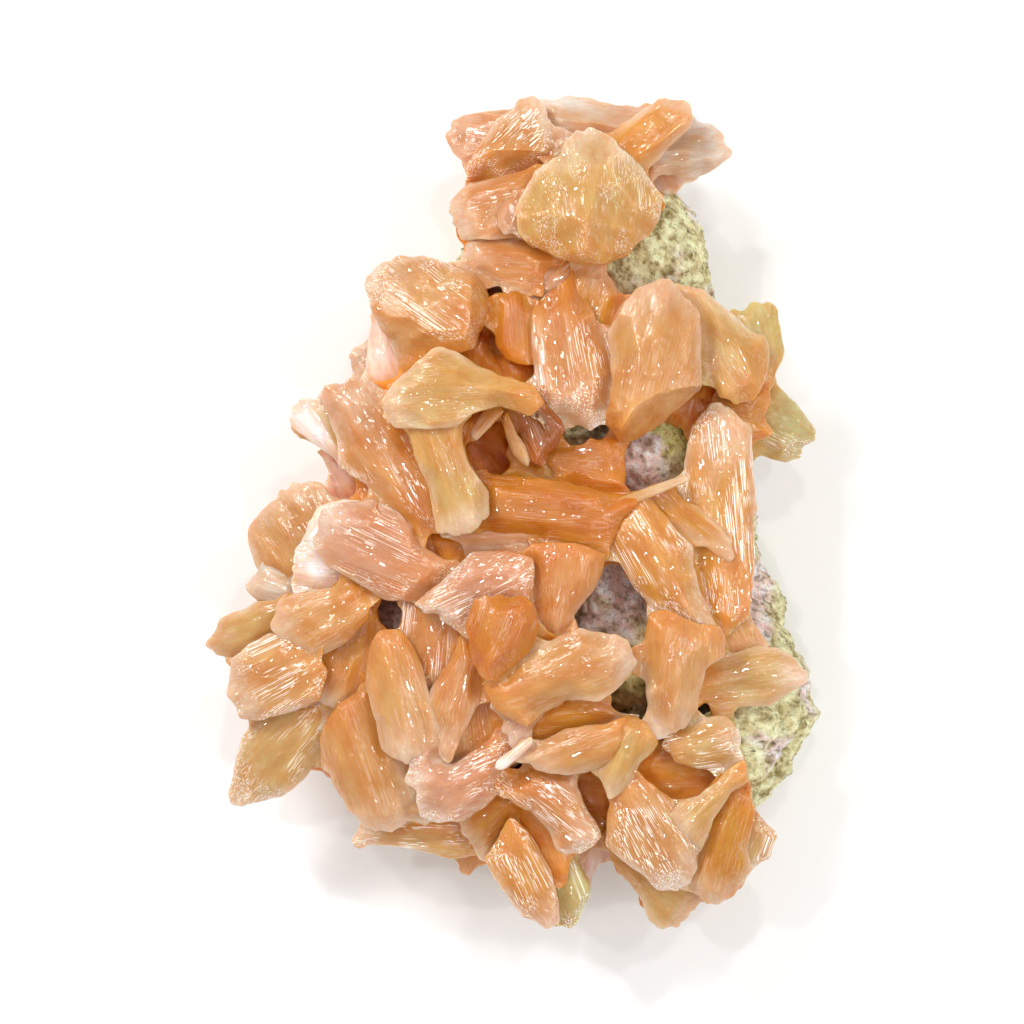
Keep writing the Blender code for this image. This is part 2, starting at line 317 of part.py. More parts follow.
FOOT = [
    ("pale.9", 49, (.05, .05), (2, -38), 6, .9,
     [(-2.9, -42.6), (-2.6, -41.1), (2.2, -37.5), (3.4, -37), (3.4, -38.6), (-1.2, -42.6)], []),
    ("peach.11", 48, (0, 0), (11, -39), 18, .6,
     [(1.6, -40.4), (4.2, -38.2), (9, -35.8), (16, -34.8), (19.2, -33.8), (19, -38), (16, -42),
     (10.6, -43.6),
      (8, -43.5), (4.6, -42.7), (2.6, -41.8)], [[(5, -40.2, .5), (12, -38.6, 1), (16.6, -36.2, .5)]]),
    ("amber.9", 45, (0, 0), (11, -34), 14, .7,
     [(4, -32.6), (8, -30.6), (14.6, -31), (18, -33), (20, -34.4), (14, -36), (8, -37.6), (3, -37)],
     [[(7, -33.4, .6), (14, -33, .5)]]),
    ("cream.4", 46.5, (0, .02), (19, -39), 16, .6,
     [(18.6, -33.4), (22, -34.4), (24.5, -38.3), (21.4, -41.4), (19.8, -44.5), (17.8, -47), (16, -47.7),
      (14, -43.4), (16.4, -39)], [[(18.8, -36.4, .5), (17.4, -42.6, .8)]]),
    ("salmon.8", 42, (0, .02), (7, -47), 18, .6,
     [(-1.2, -46.8), (-.4, -45), (2.2, -42.6), (8.5, -42.8), (11, -46), (12.6, -49.5), (14.8, -53),
      (14.8, -54.4), (12, -56.2), (9, -57), (7.6, -56.4), (6, -53), (3, -49.8), (.4, -48.6)],
     [[(1.8, -45.6, .5), (7, -48, 1.3), (11, -54, .8)]]),
    ("orange.7", 36, (-.04, .08), (2, -55), 14, .6,
     [(-4.6, -57.4), (-2.6, -54.8), (-.4, -50.6), (2.6, -53), (5, -57), (6.9, -60.6), (7.7, -65),
      (7.8, -68), (6.4, -69.8), (5, -69.2), (1.8, -67.7), (-1, -64), (-3, -61.2)],
     [[(-1.6, -58.6, .5), (2.5, -64, 1), (5.4, -67.8, .4)], [(2.2, -56, .5), (5.4, -63, .6)]]),
    ("green.3", 30, (0, .05), (8, -58), 12, .7,
     [(6, -55), (10.3, -57), (12.9, -61.6), (13.2, -63.4), (12.9, -65), (11, -68), (9.9, -69.7),
      (8, -68.6), (6, -64), (4, -58)], [[(9.6, -59.6, .4), (10.4, -66.6, .6)]]),
    ("deep.5", 34, (0, 0), (6, -54), 14, .8,
     [(0, -49), (5, -48), (9, -53), (10, -57.4), (9, -62), (6.6, -61), (3.4, -56)], []),
    ("grey.8", 27, (0, 0), (12, -54), 7, .8, [(10.5, -56.6), (12, -57.5), (14.8, -56), (15.6, -53),
    (12, -52)], []),
    ("peach.12", 41, (0, .05), (20, -52), 20, .55,
     [(15.4, -55.2), (16, -49), (18.4, -45), (21.6, -44), (26, -47), (29, -51), (31.3, -55.6),
      (30.4, -60), (29.4, -62.4), (27.8, -63.2), (24.8, -63.5), (21.2, -60), (18, -57.8)],
     [[(17.6, -50.4, .5), (22.6, -57, 1.3), (25.6, -62, .6)], [(22.4, -47.4, .4), (29, -56, .8)]]),
    ("tan.8", 31, (0, .05), (23, -57), 16, .6,
     [(15.8, -55.4), (17.8, -60.4), (20.6, -63), (23, -68.6), (25, -69.9), (26.4, -69.4), (27.8, -69.6),
      (29, -68.6), (31.9, -65.3), (34.4, -65.4), (34, -60), (28, -56), (20, -54)],
     [[(21.6, -62, .5), (25.6, -67.4, .6)], [(28, -64, .4), (30, -61, .6)]]),
    ("amber.10", 37, (0, .05), (34, -54), 18, .7,
     [(29.2, -62), (31, -56), (33, -50), (36, -45.6), (39.4, -46), (40.5, -50), (39.4, -56), (40, -60),
      (37, -64), (34.4, -65.4), (31.4, -65)], [[(37, -48.6, .5), (33.4, -58.6, .9)]]),
    ("tan.9", 34, (-.03, .04), (38, -54), 16, .6,
     [(37, -47.6), (40.8, -50.2), (44.3, -53.7), (44.3, -54.6), (42.9, -57.9), (41, -59), (38, -61.4),
      (36.4, -64.2), (34.4, -64), (35, -56)], [[(41, -53.4, .4), (38.4, -59, .6)]]),
    ("cream.5", 42.5, (0, .02), (34, -46), 18, .6,
     [(26, -50.2), (28, -47.8), (31, -47), (34, -44.6), (37, -41.6), (38.6, -41), (39.4, -45),
     (36.4, -46.6),
      (33.6, -51), (31.4, -56.2), (28.2, -54.4)], [[(30, -51, .5), (36, -44.4, .6)]]),
    ("tan.10", 41.5, (0, 0), (31, -39), 16, .7,
     [(31, -34.4), (33, -33.9), (36, -33.8), (37.7, -35.6), (38, -38), (37.6, -40.4), (35, -42.4),
      (31.7, -43), (27, -41.6), (25.6, -38.5), (28, -36)], [[(28.6, -38.8, .3), (34, -38, .7)]]),
    ("orange.8", 36, (0, 0), (28, -43), 16, .8,
     [(23.6, -37.6), (28, -36), (31.5, -39), (32.5, -42.5), (36, -42), (34, -47.4), (27, -49), (22, -47.4),
      (19.6, -43)], []),
    ("green.4", 34, (0, .02), (36, -44), 12, .7,
     [(33, -34.4), (37, -34.4), (38, -38), (39.4, -43), (40.3, -48), (39, -51), (35, -47), (34, -40)], []),
]

RIGHT = [
    ("peach.13", 46, (0, 0), (28, -23), 20, .6,
     [(22.7, -16.6), (25.4, -16), (28.8, -17.6), (31.2, -18.6), (34.6, -19), (35.5, -21.2), (35.3, -24),
      (32.2, -26), (30.8, -31.2), (30.8, -33.2), (28.8, -35.8), (27, -36.6), (25, -36.6), (22.6, -32.6),
      (21.8, -27), (21.5, -23)], [[(25, -20, .5), (27, -27, 1.3), (27.8, -33.6, .6)]]),
    ("tan.11", 35.5, (-.06, 0), (35, -28), 12, .5,
     [(30, -31), (32, -25.5), (38.8, -22.8), (41.2, -22.3), (44.6, -22.8), (46.8, -23.8), (49.4, -27.2),
      (49.1, -28.3), (46.2, -30.4), (43, -32.5), (36, -32.4)], [[(36, -28, .5), (42, -27, 1),
      (47, -27.4, .4)]]),
    ("amber.11", 36, (0, 0), (37, -19), 14, .7,
     [(34, -12), (39.6, -14.6), (40, -18), (42, -21), (43.4, -23), (38, -25), (33, -26), (31, -22),
     (32.5, -17)],
     [[(37, -16, .4), (37, -22, .6)]]),
]

UNDER = [
    ("deep.6", 39, (0, 0), (-18, 6), 14, .9,
     [(-24, 21), (-14, 25), (-6, 20), (-9, 6), (-12, -6), (-20, -12), (-25, -8), (-26, 4)], []),
    ("orange.9", 42, (0, 0), (-8, -12), 16, .9,
     [(-13, -2), (0, -3), (5, -9), (4, -22), (-2, -27), (-8, -28), (-16.6, -24), (-17, -14),
     (-16, -6)], []),
    ("deep.7", 39, (0, 0), (8, -2), 14, .9, [(-4, 5), (17, 5), (22, -2), (21, -10), (15.6, -8),
    (10, -5), (-2, -6)], []),
    ("deep.8", 35, (0, 0), (-6, -44), 14, .9,
     [(-22, -34), (-12, -28), (4, -34), (12, -36), (12, -46), (4, -50), (-8, -52), (-20, -48)], []),
    ("deep.9", 33, (0, 0), (22, -50), 14, .9,
     [(4, -44), (14, -40), (26, -42), (36, -44), (38, -50), (34, -58), (26, -60), (16, -55), (8, -53)], []),
    ("deep.10", 33, (0, 0), (-32, -18), 14, .8,
     [(-39, -8), (-30, -3), (-24, -12), (-23.4, -20), (-26, -31), (-34, -34), (-41, -28), (-40, -16)], []),
    ("deep.11", 35, (0, 0), (0, 28), 12, .9,
     [(-16, 35), (-4, 38), (8, 38), (16, 32), (14, 20), (4, 15), (-8, 20), (-16, 26)], []),
]

FLANK = [
    ("peach.14", 21, (.2, 0), (-28, -12), 10, .6,
     [(-40, -12), (-38, -6), (-30, -4), (-22, -8), (-24, -16), (-34, -18)], []),
    ("salmon.9", 17, (.2, -.1), (-29, -28), 9, .6,
     [(-41, -26), (-36, -20), (-28, -20), (-24, -28), (-30, -35), (-38, -33)], []),
    ("peach.15", 22, (.2, .1), (-24, -40), 10, .6,
     [(-33, -42), (-29, -34), (-20, -34), (-16, -42), (-22, -49), (-29, -48)], []),
    ("tan.12", 18, (0, .2), (-6, -50), 9, .6,
     [(-15, -52), (-12, -44), (0, -44), (4, -52), (-2, -58), (-10, -57)], []),
    ("salmon.10", 20, (0, .2), (8, -54), 10, .6,
     [(0, -58), (2, -48), (14, -48), (16, -58), (10, -66), (4, -65)], []),
    ("peach.16", 19, (0, .2), (26, -56), 10, .6,
     [(18, -58), (20, -50), (32, -50), (36, -58), (30, -65), (22, -65)], []),
    ("salmon.11", 20, (.2, 0), (-22, 8), 10, .6,
     [(-28, 4), (-28, 14), (-20, 18), (-12, 10), (-16, 0), (-24, -2)], []),
    ("peach.17", 22, (.2, -.1), (-14, 31), 10, .6,
     [(-23, 32), (-20, 38), (-10, 40), (-4, 32), (-10, 24), (-19, 25)], []),
    ("pink.6", 19, (.1, -.2), (2, 54), 9, .6,
     [(-7, 58), (-2, 64), (6, 65), (12, 56), (6, 48), (-4, 50)], []),
    ("salmon.12", 22, (.1, 0), (-3, 44), 9, .6,
     [(-8, 46), (-4, 52), (6, 50), (6, 40), (-4, 38)], []),
    ("tan.13", 24, (0, -.1), (22, 55), 12, .6,
     [(12, 62), (20, 66), (28, 63), (30, 56), (24, 50), (14, 52)], []),
]


def clear():
    """Takes away whatever the file opened with."""
    for old in list(bpy.data.objects):
        bpy.data.objects.remove(old, do_unlink=True)


def material(name, colour, roughness):
    made = bpy.data.materials.new(name)
    made.use_nodes = True
    shader = made.node_tree.nodes["Principled BSDF"]
    shader.inputs["Base Color"].default_value = (*colour, 1.0)
    shader.inputs["Roughness"].default_value = roughness
    shader.inputs["Metallic"].default_value = 0.0
    return made


def make_object(name, mesh, collection, surface=None):
    """Puts a mesh in millimetres into the scene, in metres."""
    for vertex in mesh.verts:
        vertex.co *= MM
    bmesh.ops.recalc_face_normals(mesh, faces=mesh.faces)
    data = bpy.data.meshes.new(name)
    mesh.to_mesh(data)
    mesh.free()
    if surface:
        data.materials.append(surface)
    made = bpy.data.objects.new(name, data)
    collection.objects.link(made)
    return made


def towards(point, target, distance):
    """The point moved up to distance towards target, and never more than a third of the way."""
    away = target - point
    return point + away * min(distance / max(away.length, 1e-6), 1 / 3)


def thinned(points):
    """The outline's points between the first and last of a run, but for those that lie close to a chord."""
    if len(points) < 3:
        return points
    start, end = Vector(points[0][:2]), Vector(points[-1][:2])
    line = end - start
    sideways = [abs(line.cross(Vector(p[:2]) - start)) / max(line.length, 1e-6) for p in points]
    furthest = max(range(1, len(points) - 1), key=lambda i: sideways[i])
    if sideways[furthest] < FINEST_BEND:
        return [points[0], points[-1]]
    return thinned(points[:furthest + 1])[:-1] + thinned(points[furthest:])


def thinned_outline(outline):
    half = len(outline) // 2
    return thinned(outline[:half + 1])[:-1] + thinned(outline[half:] + outline[:1])[:-1]


def face_triangles(outline, ridges):
    """Splits a face into triangles that keep its ridges. The points are the outline's, then the ridges'."""
    points = [Vector((p[0], p[1])) for p in outline]
    edges = []
    for ridge in ridges:
        start = len(points)
        points += [Vector((p[0], p[1])) for p in ridge]
        edges += [(i, i + 1) for i in range(start, start + len(ridge) - 1)]
    loop = list(range(len(outline)))
    result = geometry.delaunay_2d_cdt(points, edges, [loop], 1, 1e-5)
    sources = [min(origin) for origin in result[3]]
    return [[sources[i] for i in triangle] for triangle in result[2]]


def crystal_mesh(crystal):
    """One tabular crystal: its face, its sides, and its narrower root."""
    outline = thinned_outline(crystal.face)
    middle = Vector((sum(p[0] for p in outline), sum(p[1] for p in outline))) / len(outline)
    root = Vector(crystal.root)
    slope = Vector(crystal.tilt) - middle / DOME_RADIUS

    def face_height(point):
        return crystal.height + slope.dot(point - middle)

    mesh = bmesh.new()
    corners = [Vector(p[:2]) for p in outline]
    tops = [face_height(c) + (p[2] if len(p) > 2 else 0.0) for c, p in zip(corners, outline)]
    belly_drop = BELLY * crystal.depth
    floor = min(face_height(root) - crystal.depth, min(tops) - belly_drop - ROOT_CLEAR)
    rim = [mesh.verts.new((c.x, c.y, top)) for c, top in zip(corners, tops)]
    belly = []
    for corner, top in zip(corners, tops):
        place = towards(corner, middle, BELLY_IN)
        belly.append(mesh.verts.new((place.x, place.y, top - belly_drop)))
    base = []
    for corner in corners[::2]:
        place = root + (corner - root) * crystal.waist
        base.append(mesh.verts.new((place.x, place.y, floor)))
    count = len(corners)
    for i in range(count):
        j = (i + 1) % count
        mesh.faces.new((rim[i], rim[j], belly[j], belly[i]))
        near, far = base[i // 2], base[j // 2]
        mesh.faces.new((belly[i], belly[j], far) if near is far else (belly[i], belly[j], far, near))
    crest = [mesh.verts.new((x, y, face_height(Vector((x, y))) + rise))
             for ridge in crystal.ridges for x, y, rise in ridge]
    top_points = rim + crest
    for triangle in face_triangles(corners, crystal.ridges):
        mesh.faces.new([top_points[i] for i in triangle])
    for triangle in face_triangles([v.co for v in base], []):
        mesh.faces.new([base[i] for i in triangle])
    bmesh.ops.triangulate(mesh, faces=mesh.faces)
    return mesh


def rim_points(count):
    """Points spaced evenly along the rock's rim."""
    rim = np.array(ROCK_RIM + ROCK_RIM[:1], float)
    along = np.concatenate([[0], np.cumsum(np.linalg.norm(np.diff(rim, axis=0), axis=1))])
    places = np.linspace(0, along[-1], count, endpoint=False)
    return np.stack([np.interp(places, along, rim[:, k]) for k in (0, 1)], axis=1)


def nearest_on_spine(point):
    spine = [Vector(p) for p in ROCK_SPINE]
    best = None
    for start, end in zip(spine, spine[1:]):
        along = (point - start).dot(end - start) / (end - start).length_squared
        foot = start + (end - start) * min(max(along, 0.0), 1.0)
        if best is None or (foot - point).length < (best - point).length:
            best = foot
    return best


def swelling(place, height):
    """How far the crust bulges up at a place on one of its levels."""
    share = (height / ROCK_LEVELS[-1][1]) ** 2
    return share * sum(rise * math.exp(-((place.x - x) ** 2 + (place.y - y) ** 2) / reach ** 2)
                       for x, y, reach, rise in ROCK_SWELLS)


def rock_mesh(swell):
    """The lump of mordenite crust, flat at the back. swell moves its whole surface out, but for the back."""
    mesh = bmesh.new()
    rings = []
    for reach, height in ROCK_LEVELS:
        ring = []
        for x, y in rim_points(ROCK_POINTS):
            rim = Vector((x, y))
            foot = nearest_on_spine(rim)
            place = foot + (rim - foot) * reach
            spot = Vector((place.x, place.y, height))
            lump = noise.noise(spot / ROCK_LUMP_SIZE) * ROCK_LUMP + noise.noise(spot / ROCK_PIT_SIZE) * ROCK_PIT
            outward = (rim - foot).normalized()
            steep = max(0.0, 1.0 - height / 21.0)
            side = lump * steep * min(height / 3.0, 1.0)
            level = height + (1 - steep) * lump * 1.5 + swelling(place, height)
            ring.append(mesh.verts.new((place.x + outward.x * side, place.y + outward.y * side, level)))
        rings.append(ring)
    for lower, upper in zip(rings, rings[1:]):
        for i in range(ROCK_POINTS):
            j = (i + 1) % ROCK_POINTS
            mesh.faces.new((lower[i], lower[j], upper[j], upper[i]))
    mesh.faces.new(rings[0][::-1])
    mesh.faces.new(rings[-1])
    bmesh.ops.triangulate(mesh, faces=mesh.faces)
    bmesh.ops.recalc_face_normals(mesh, faces=mesh.faces)
    if swell:
        mesh.normal_update()
        moves = [(v, v.normal * swell) for v in mesh.verts]
        for vertex, move in moves:
            vertex.co += move
        for vertex in rings[0]:
            vertex.co.z = -2.0
    return mesh


def island_of(face, seen):
    """The faces that are joined to this one."""
    island = [face]
    seen.add(face)
    for member in island:
        for edge in member.edges:
            for other in edge.link_faces:
                if other not in seen:
                    seen.add(other)
                    island.append(other)
    return island


def volume_inside(faces):
    total = 0.0
    for face in faces:
        first = face.verts[0].co
        for second, third in zip(face.verts[1:], face.verts[2:]):
            total += first.dot(second.co.cross(third.co)) / 6
    return total


def grow_together(thing):
    """Applies the modifiers, keeps the outer skin of the largest body, and joins its coplanar faces."""
    graph = bpy.context.evaluated_depsgraph_get()
    data = bpy.data.meshes.new_from_object(thing.evaluated_get(graph))
    thing.modifiers.clear()
    thing.data = data
    mesh = bmesh.new()
    mesh.from_mesh(data)
    seen = set()
    islands = [island_of(face, seen) for face in mesh.faces if face not in seen]
    islands.sort(key=volume_inside)
    bmesh.ops.delete(mesh, geom=[face for island in islands[:-1] for face in island], context="FACES")
    bmesh.ops.dissolve_limit(mesh, angle_limit=FLATTEST_EDGE, verts=mesh.verts, edges=mesh.edges)
    bmesh.ops.triangulate(mesh, faces=mesh.faces)
    mesh.to_mesh(data)
    mesh.free()


def main():
    clear()
    scene = bpy.context.scene
    rock_surface = material("mordenite", (0.62, 0.58, 0.34), 0.85)
    crystal_surface = material("stilbite", (0.80, 0.42, 0.20), 0.35)
    make_object("mordenite_matrix", rock_mesh(0.0), scene.collection, rock_surface)

    crystals = [Crystal(*row) for row in TOP + UPPER + CENTRE + LEFT + LOWER + FOOT + RIGHT + UNDER + FLANK]
    first, *others = crystals
    grown = make_object("stilbite_crystals", crystal_mesh(first), scene.collection, crystal_surface)
    neighbours = bpy.data.collections.new("neighbouring crystals")
    scene.collection.children.link(neighbours)
    for crystal in others:
        make_object(crystal.name, crystal_mesh(crystal), neighbours)
    union = grown.modifiers.new("grown together", "BOOLEAN")
    union.operation = "UNION"
    union.operand_type = "COLLECTION"
    union.collection = neighbours
    union.solver = "EXACT"
    socket = make_object("socket", rock_mesh(GAP), scene.collection)
    cut = grown.modifiers.new("socket", "BOOLEAN")
    cut.operation = "DIFFERENCE"
    cut.object = socket
    cut.solver = "EXACT"
    grow_together(grown)
    for helper in [*neighbours.objects, socket]:
        bpy.data.objects.remove(helper, do_unlink=True)
    bpy.data.collections.remove(neighbours)


main()
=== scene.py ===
import math
from collections import namedtuple

import bpy
import numpy as np
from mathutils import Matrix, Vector, geometry


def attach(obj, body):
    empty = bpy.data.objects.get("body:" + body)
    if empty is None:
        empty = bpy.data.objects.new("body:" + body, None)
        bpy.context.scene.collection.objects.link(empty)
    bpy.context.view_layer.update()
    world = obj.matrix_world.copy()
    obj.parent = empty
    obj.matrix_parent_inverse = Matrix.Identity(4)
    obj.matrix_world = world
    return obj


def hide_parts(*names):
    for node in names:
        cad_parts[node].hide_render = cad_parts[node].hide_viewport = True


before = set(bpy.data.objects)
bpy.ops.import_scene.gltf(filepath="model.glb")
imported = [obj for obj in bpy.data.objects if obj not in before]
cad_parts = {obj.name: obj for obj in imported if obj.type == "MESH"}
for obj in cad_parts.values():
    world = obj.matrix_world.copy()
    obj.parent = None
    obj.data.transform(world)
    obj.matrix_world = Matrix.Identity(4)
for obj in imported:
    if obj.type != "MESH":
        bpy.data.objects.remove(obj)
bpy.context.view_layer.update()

# The specimen lies on its back and is seen from straight above. Sizes are in millimetres until a mesh
# is made, and then in metres. X runs to the right, Y up the picture and Z towards the camera.
MM = 0.001

# The camera: the photograph's frame takes in 1024 / 6 mm at the height of most of the crystals' faces
FRAME_WIDTH = 170.67 * MM
FACES_HEIGHT = 36 * MM
CAMERA_HEIGHT = 1.6
SENSOR = 36.0

# The fine meshes
STEP = 0.5            # spacing of a crystal's points
ROOT_STEP = 1.7       # spacing of the rings on its lower sides, which are mostly hidden
CORNER_CUTS = (0.07, 0.25)
WORN_EDGE = 0.28
SPLINTER = 0.28       # how far the plates at a tip end apart
TUCK_PROBES = (0.5, 1.0, 1.6, 2.2)    # how far a crystal looks for a higher one to run on under
TUCK_WIDTH = 3        # a narrower crystal doesn't run on
EDGE_WOBBLE = 0.24
NEARLY_ROUND = 1.6    # below this ratio of its spreads, a face has no long way of its own
FAN = 0.22            # how far a crystal's striae spread from its root to its tip
BEVEL_CHANCE = 0.7
BEVEL_EDGE = 2        # a shorter edge has no bevel
BEVEL_BREADTH = (0.08, 0.2)   # the least, and what chance adds, as shares of the crystal's width
BEVEL_FALL = (0.25, 0.45)
ROCK_STEP = 0.55

# How high the relief of a crystal stands that is at least BROAD wide
BROAD = 7
PLATE_RELIEF = 0.16
WAVE_RELIEF = 0.16
RIB_RELIEF = 0.06
TIP_RELIEF = 0.14
CHIP_RELIEF = 0.02
TIP_CHIP_RELIEF = 0.06
THIN_PLATES = 0.16
THICK_PLATES = 0.24

# The shape of a crystal and of the rock, as the solids have them
DOME_RADIUS = 210.0
BELLY = 0.34
BELLY_IN = 0.4
ROOT_CLEAR = 0.8

ROCK_LEVELS = [(0.90, 0.0), (0.97, 3.0), (1.00, 9.0), (0.98, 15.0), (0.93, 19.5), (0.82, 22.5),
               (0.64, 24.5), (0.42, 25.5), (0.20, 26.0)]
ROCK_SPINE = [(14, 46), (13, 20), (8, -8), (8, -44)]
# Where the crust bulges up between the crystals: x, y, reach and rise
ROCK_SWELLS = [(25, 46, 13, 8), (24, 9, 9, 8), (15, -14, 11, 7), (9, 14, 7, 8), (43, -36, 13, 6),
               (21, -29, 9, 7), (-20, -18, 7, 9), (-25, -30, 6, 6)]
ROCK_RIM = [
    (16.6, 57.8), (23.8, 57.4), (28.6, 51.2), (31.0, 48.0), (32.4, 42.0), (32.9, 36.8), (35.0, 30.4),
    (38.5, 23.4), (39.5, 13.8), (39.5, 2.0), (40.8, -7.9), (44.2, -14.6), (46.2, -21.0), (47.6, -24.4),
    (50.0, -30.0), (50.8, -34.2), (49.9, -37.6), (47.4, -40.0), (44.6, -44.6), (41.4, -48.2),
    (37.0, -52.0), (30.0, -57.0), (20.0, -58.5), (8.0, -54.0), (-7.0, -51.0), (-18.0, -46.5),
    (-26.0, -37.0), (-32.5, -29.0), (-34.0, -17.0), (-28.0, -7.0), (-25.5, 5.0), (-21.5, 18.0),
    (-17.0, 29.0), (-10.0, 38.0), (-5.5, 48.0), (3.0, 58.0)]

# A crystal is a tabular blade. height is that of its face's middle, and tilt is how its face rises to the
# right and up. Its sides go down by depth to root, where it is waist times as wide as its face. face is
# the outline, whose points may have a rise of their own, and ridges are the lines where its facets meet.
Crystal = namedtuple("Crystal", "name height tilt root depth waist face ridges")

TOP = [
    ("pink.1", 31, (.25, .1), (0, 60), 12, .6,
     [(-11.5, 63), (-10, 64), (-10, 65.4), (-8, 66.4), (-4.5, 66.9), (0, 66), (2, 62), (-2, 58),
      (-7, 57.2), (-9.2, 59.2)],
     [[(-7.5, 65, .4), (-8, 60, .5)]]),
    ("grey.1", 27, (0, 0), (0, 63), 7, .7,
     [(-8.5, 65), (-8, 66.5), (-4, 67.4), (-.5, 67.5), (2, 66.5), (1, 63.5), (-5, 63)], []),
    ("peach.1", 38, (0, .05), (2, 59), 16, .6,
     [(-7.6, 57.6, -.8), (-6.5, 59.6), (-4.8, 62), (-2.4, 65.6), (.4, 67.3), (1.2, 69), (3.6, 69.6),
      (5.6, 68), (6.5, 65), (7, 61), (6, 58, -2), (1, 56.6, -3), (-5, 55.2, -3.6), (-7, 54.6, -3.6)],
     [[(-6, 58.8, .5), (-3, 60.2, .8), (1.5, 60.2, 1.2), (5.6, 60, .8)]]),
    ("pink.2", 37.5, (0, 0), (7, 61), 10, .7,
     [(6, 64), (8.5, 64), (9.2, 61), (7.5, 58.6), (5.5, 60)], []),
    ("grey.2", 31, (0, 0), (12, 60), 10, .7,
     [(5.5, 68), (7, 69.1), (9.2, 69.9), (11.2, 69.7), (17, 68.3), (22.6, 67.6), (21, 63, -1),
      (15.6, 61.4, -1.4), (11, 61, -1.4), (6, 63, -.5)],
     [[(7.4, 65.4, .6), (13, 65.2, 1.2), (18.6, 64, .8)]]),
    ("orange.1", 38.5, (.16, .1), (17, 56), 14, .55,
     [(15.5, 62.5), (23, 67.9), (24.2, 69), (26, 69.1), (30, 68), (30.4, 66.8), (29.6, 63.8),
      (26, 60.4, -1.2), (23.6, 57.8, -2), (21.5, 56.2, -2), (17, 55), (14, 58)],
     [[(20, 58.8, .6), (25, 61.8, .7), (28.4, 64.6, .4)]]),
    ("grey.3", 31, (-.05, 0), (21, 60), 11, .6,
     [(22, 57), (20, 60), (24, 64.5), (30, 65.7), (33, 65.3), (34.6, 63.8), (36.4, 60.9), (36.6, 59.8),
      (35, 58.2, -.6), (32, 56.4, -1), (29.4, 55.5, -1), (27, 56.2, -1)],
     [[(24, 60.2, 1), (30, 60.4, 1.2), (35, 60.2, .4)]]),
    ("cream.1", 46, (-.04, .04), (13, 50), 26, .55,
     [(3.5, 56.5), (8, 59.6), (9, 62), (11, 63.2), (13.2, 63.6), (15, 63.1), (18.2, 60.4), (21.2, 57.6),
      (23, 55.2), (25, 52.2, -1.5), (24.6, 48.5, -3.5), (22.6, 45.8, -4.5), (19.5, 43.8, -4.5),
      (15.5, 41, -4), (12, 40.8, -3), (7, 42.4, -1.5), (2.5, 44.5, -1), (1, 46), (.6, 49.6), (1.3, 52.2)],
     [[(17, 59.4, .6), (14, 54, 1.6), (12.5, 48.5, 2), (12, 43.6, .6)]]),
    ("salmon.1", 40, (.12, 0), (4, 50), 18, .6,
     [(-10.4, 52), (-9, 53.4), (-7, 54.7), (-2, 55.8), (3.7, 57.4), (5, 54), (4, 46), (-2, 45.2),
      (-8, 45.2), (-9.5, 47.5), (-10.3, 49.8)],
     [[(-3, 53.6, .8), (2, 54.2, .8)]]),
    ("pink.3", 42.5, (.1, 0), (2, 49), 10, .7,
     [(-2.4, 49.8), (-1.2, 52), (1.5, 52.8), (2.5, 49.5), (1.5, 46.8), (-1.2, 46), (-2.6, 47.5)], []),
    ("salmon.2", 40, (0, .16), (3, 46), 16, .6,
     [(-7.9, 45), (-2, 45.8), (3.8, 44.8), (6.6, 42.8), (8, 41.8), (6, 40.4), (4.6, 38), (2.2, 36.5),
      (-2.1, 37.8), (-5.4, 40), (-7.7, 40.9)],
     [[(-5, 43.2, .4), (3, 42.4, .8)]]),
    ("grey.4", 34, (0, 0), (-2, 40), 10, .7,
     [(-10.2, 41), (-8, 42.3), (-5, 42.8), (-1, 38.5), (0, 36.8), (-3, 36.6), (-7, 39.8)], []),
    ("pink.4", 38, (0, 0), (8, 40), 12, .7,
     [(6, 41), (8, 43.5), (12.5, 43), (11, 41), (9.6, 38.8), (7.1, 37), (4.6, 35.3), (3.4, 34.8),
      (2.3, 36.2)], []),
    ("deep.1", 32, (0, 0), (9, 53), 12, .8,
     [(-2, 60), (6, 63), (14, 62), (22, 58), (24, 50), (20, 43), (10, 40), (0, 42), (-5, 48)], []),
]

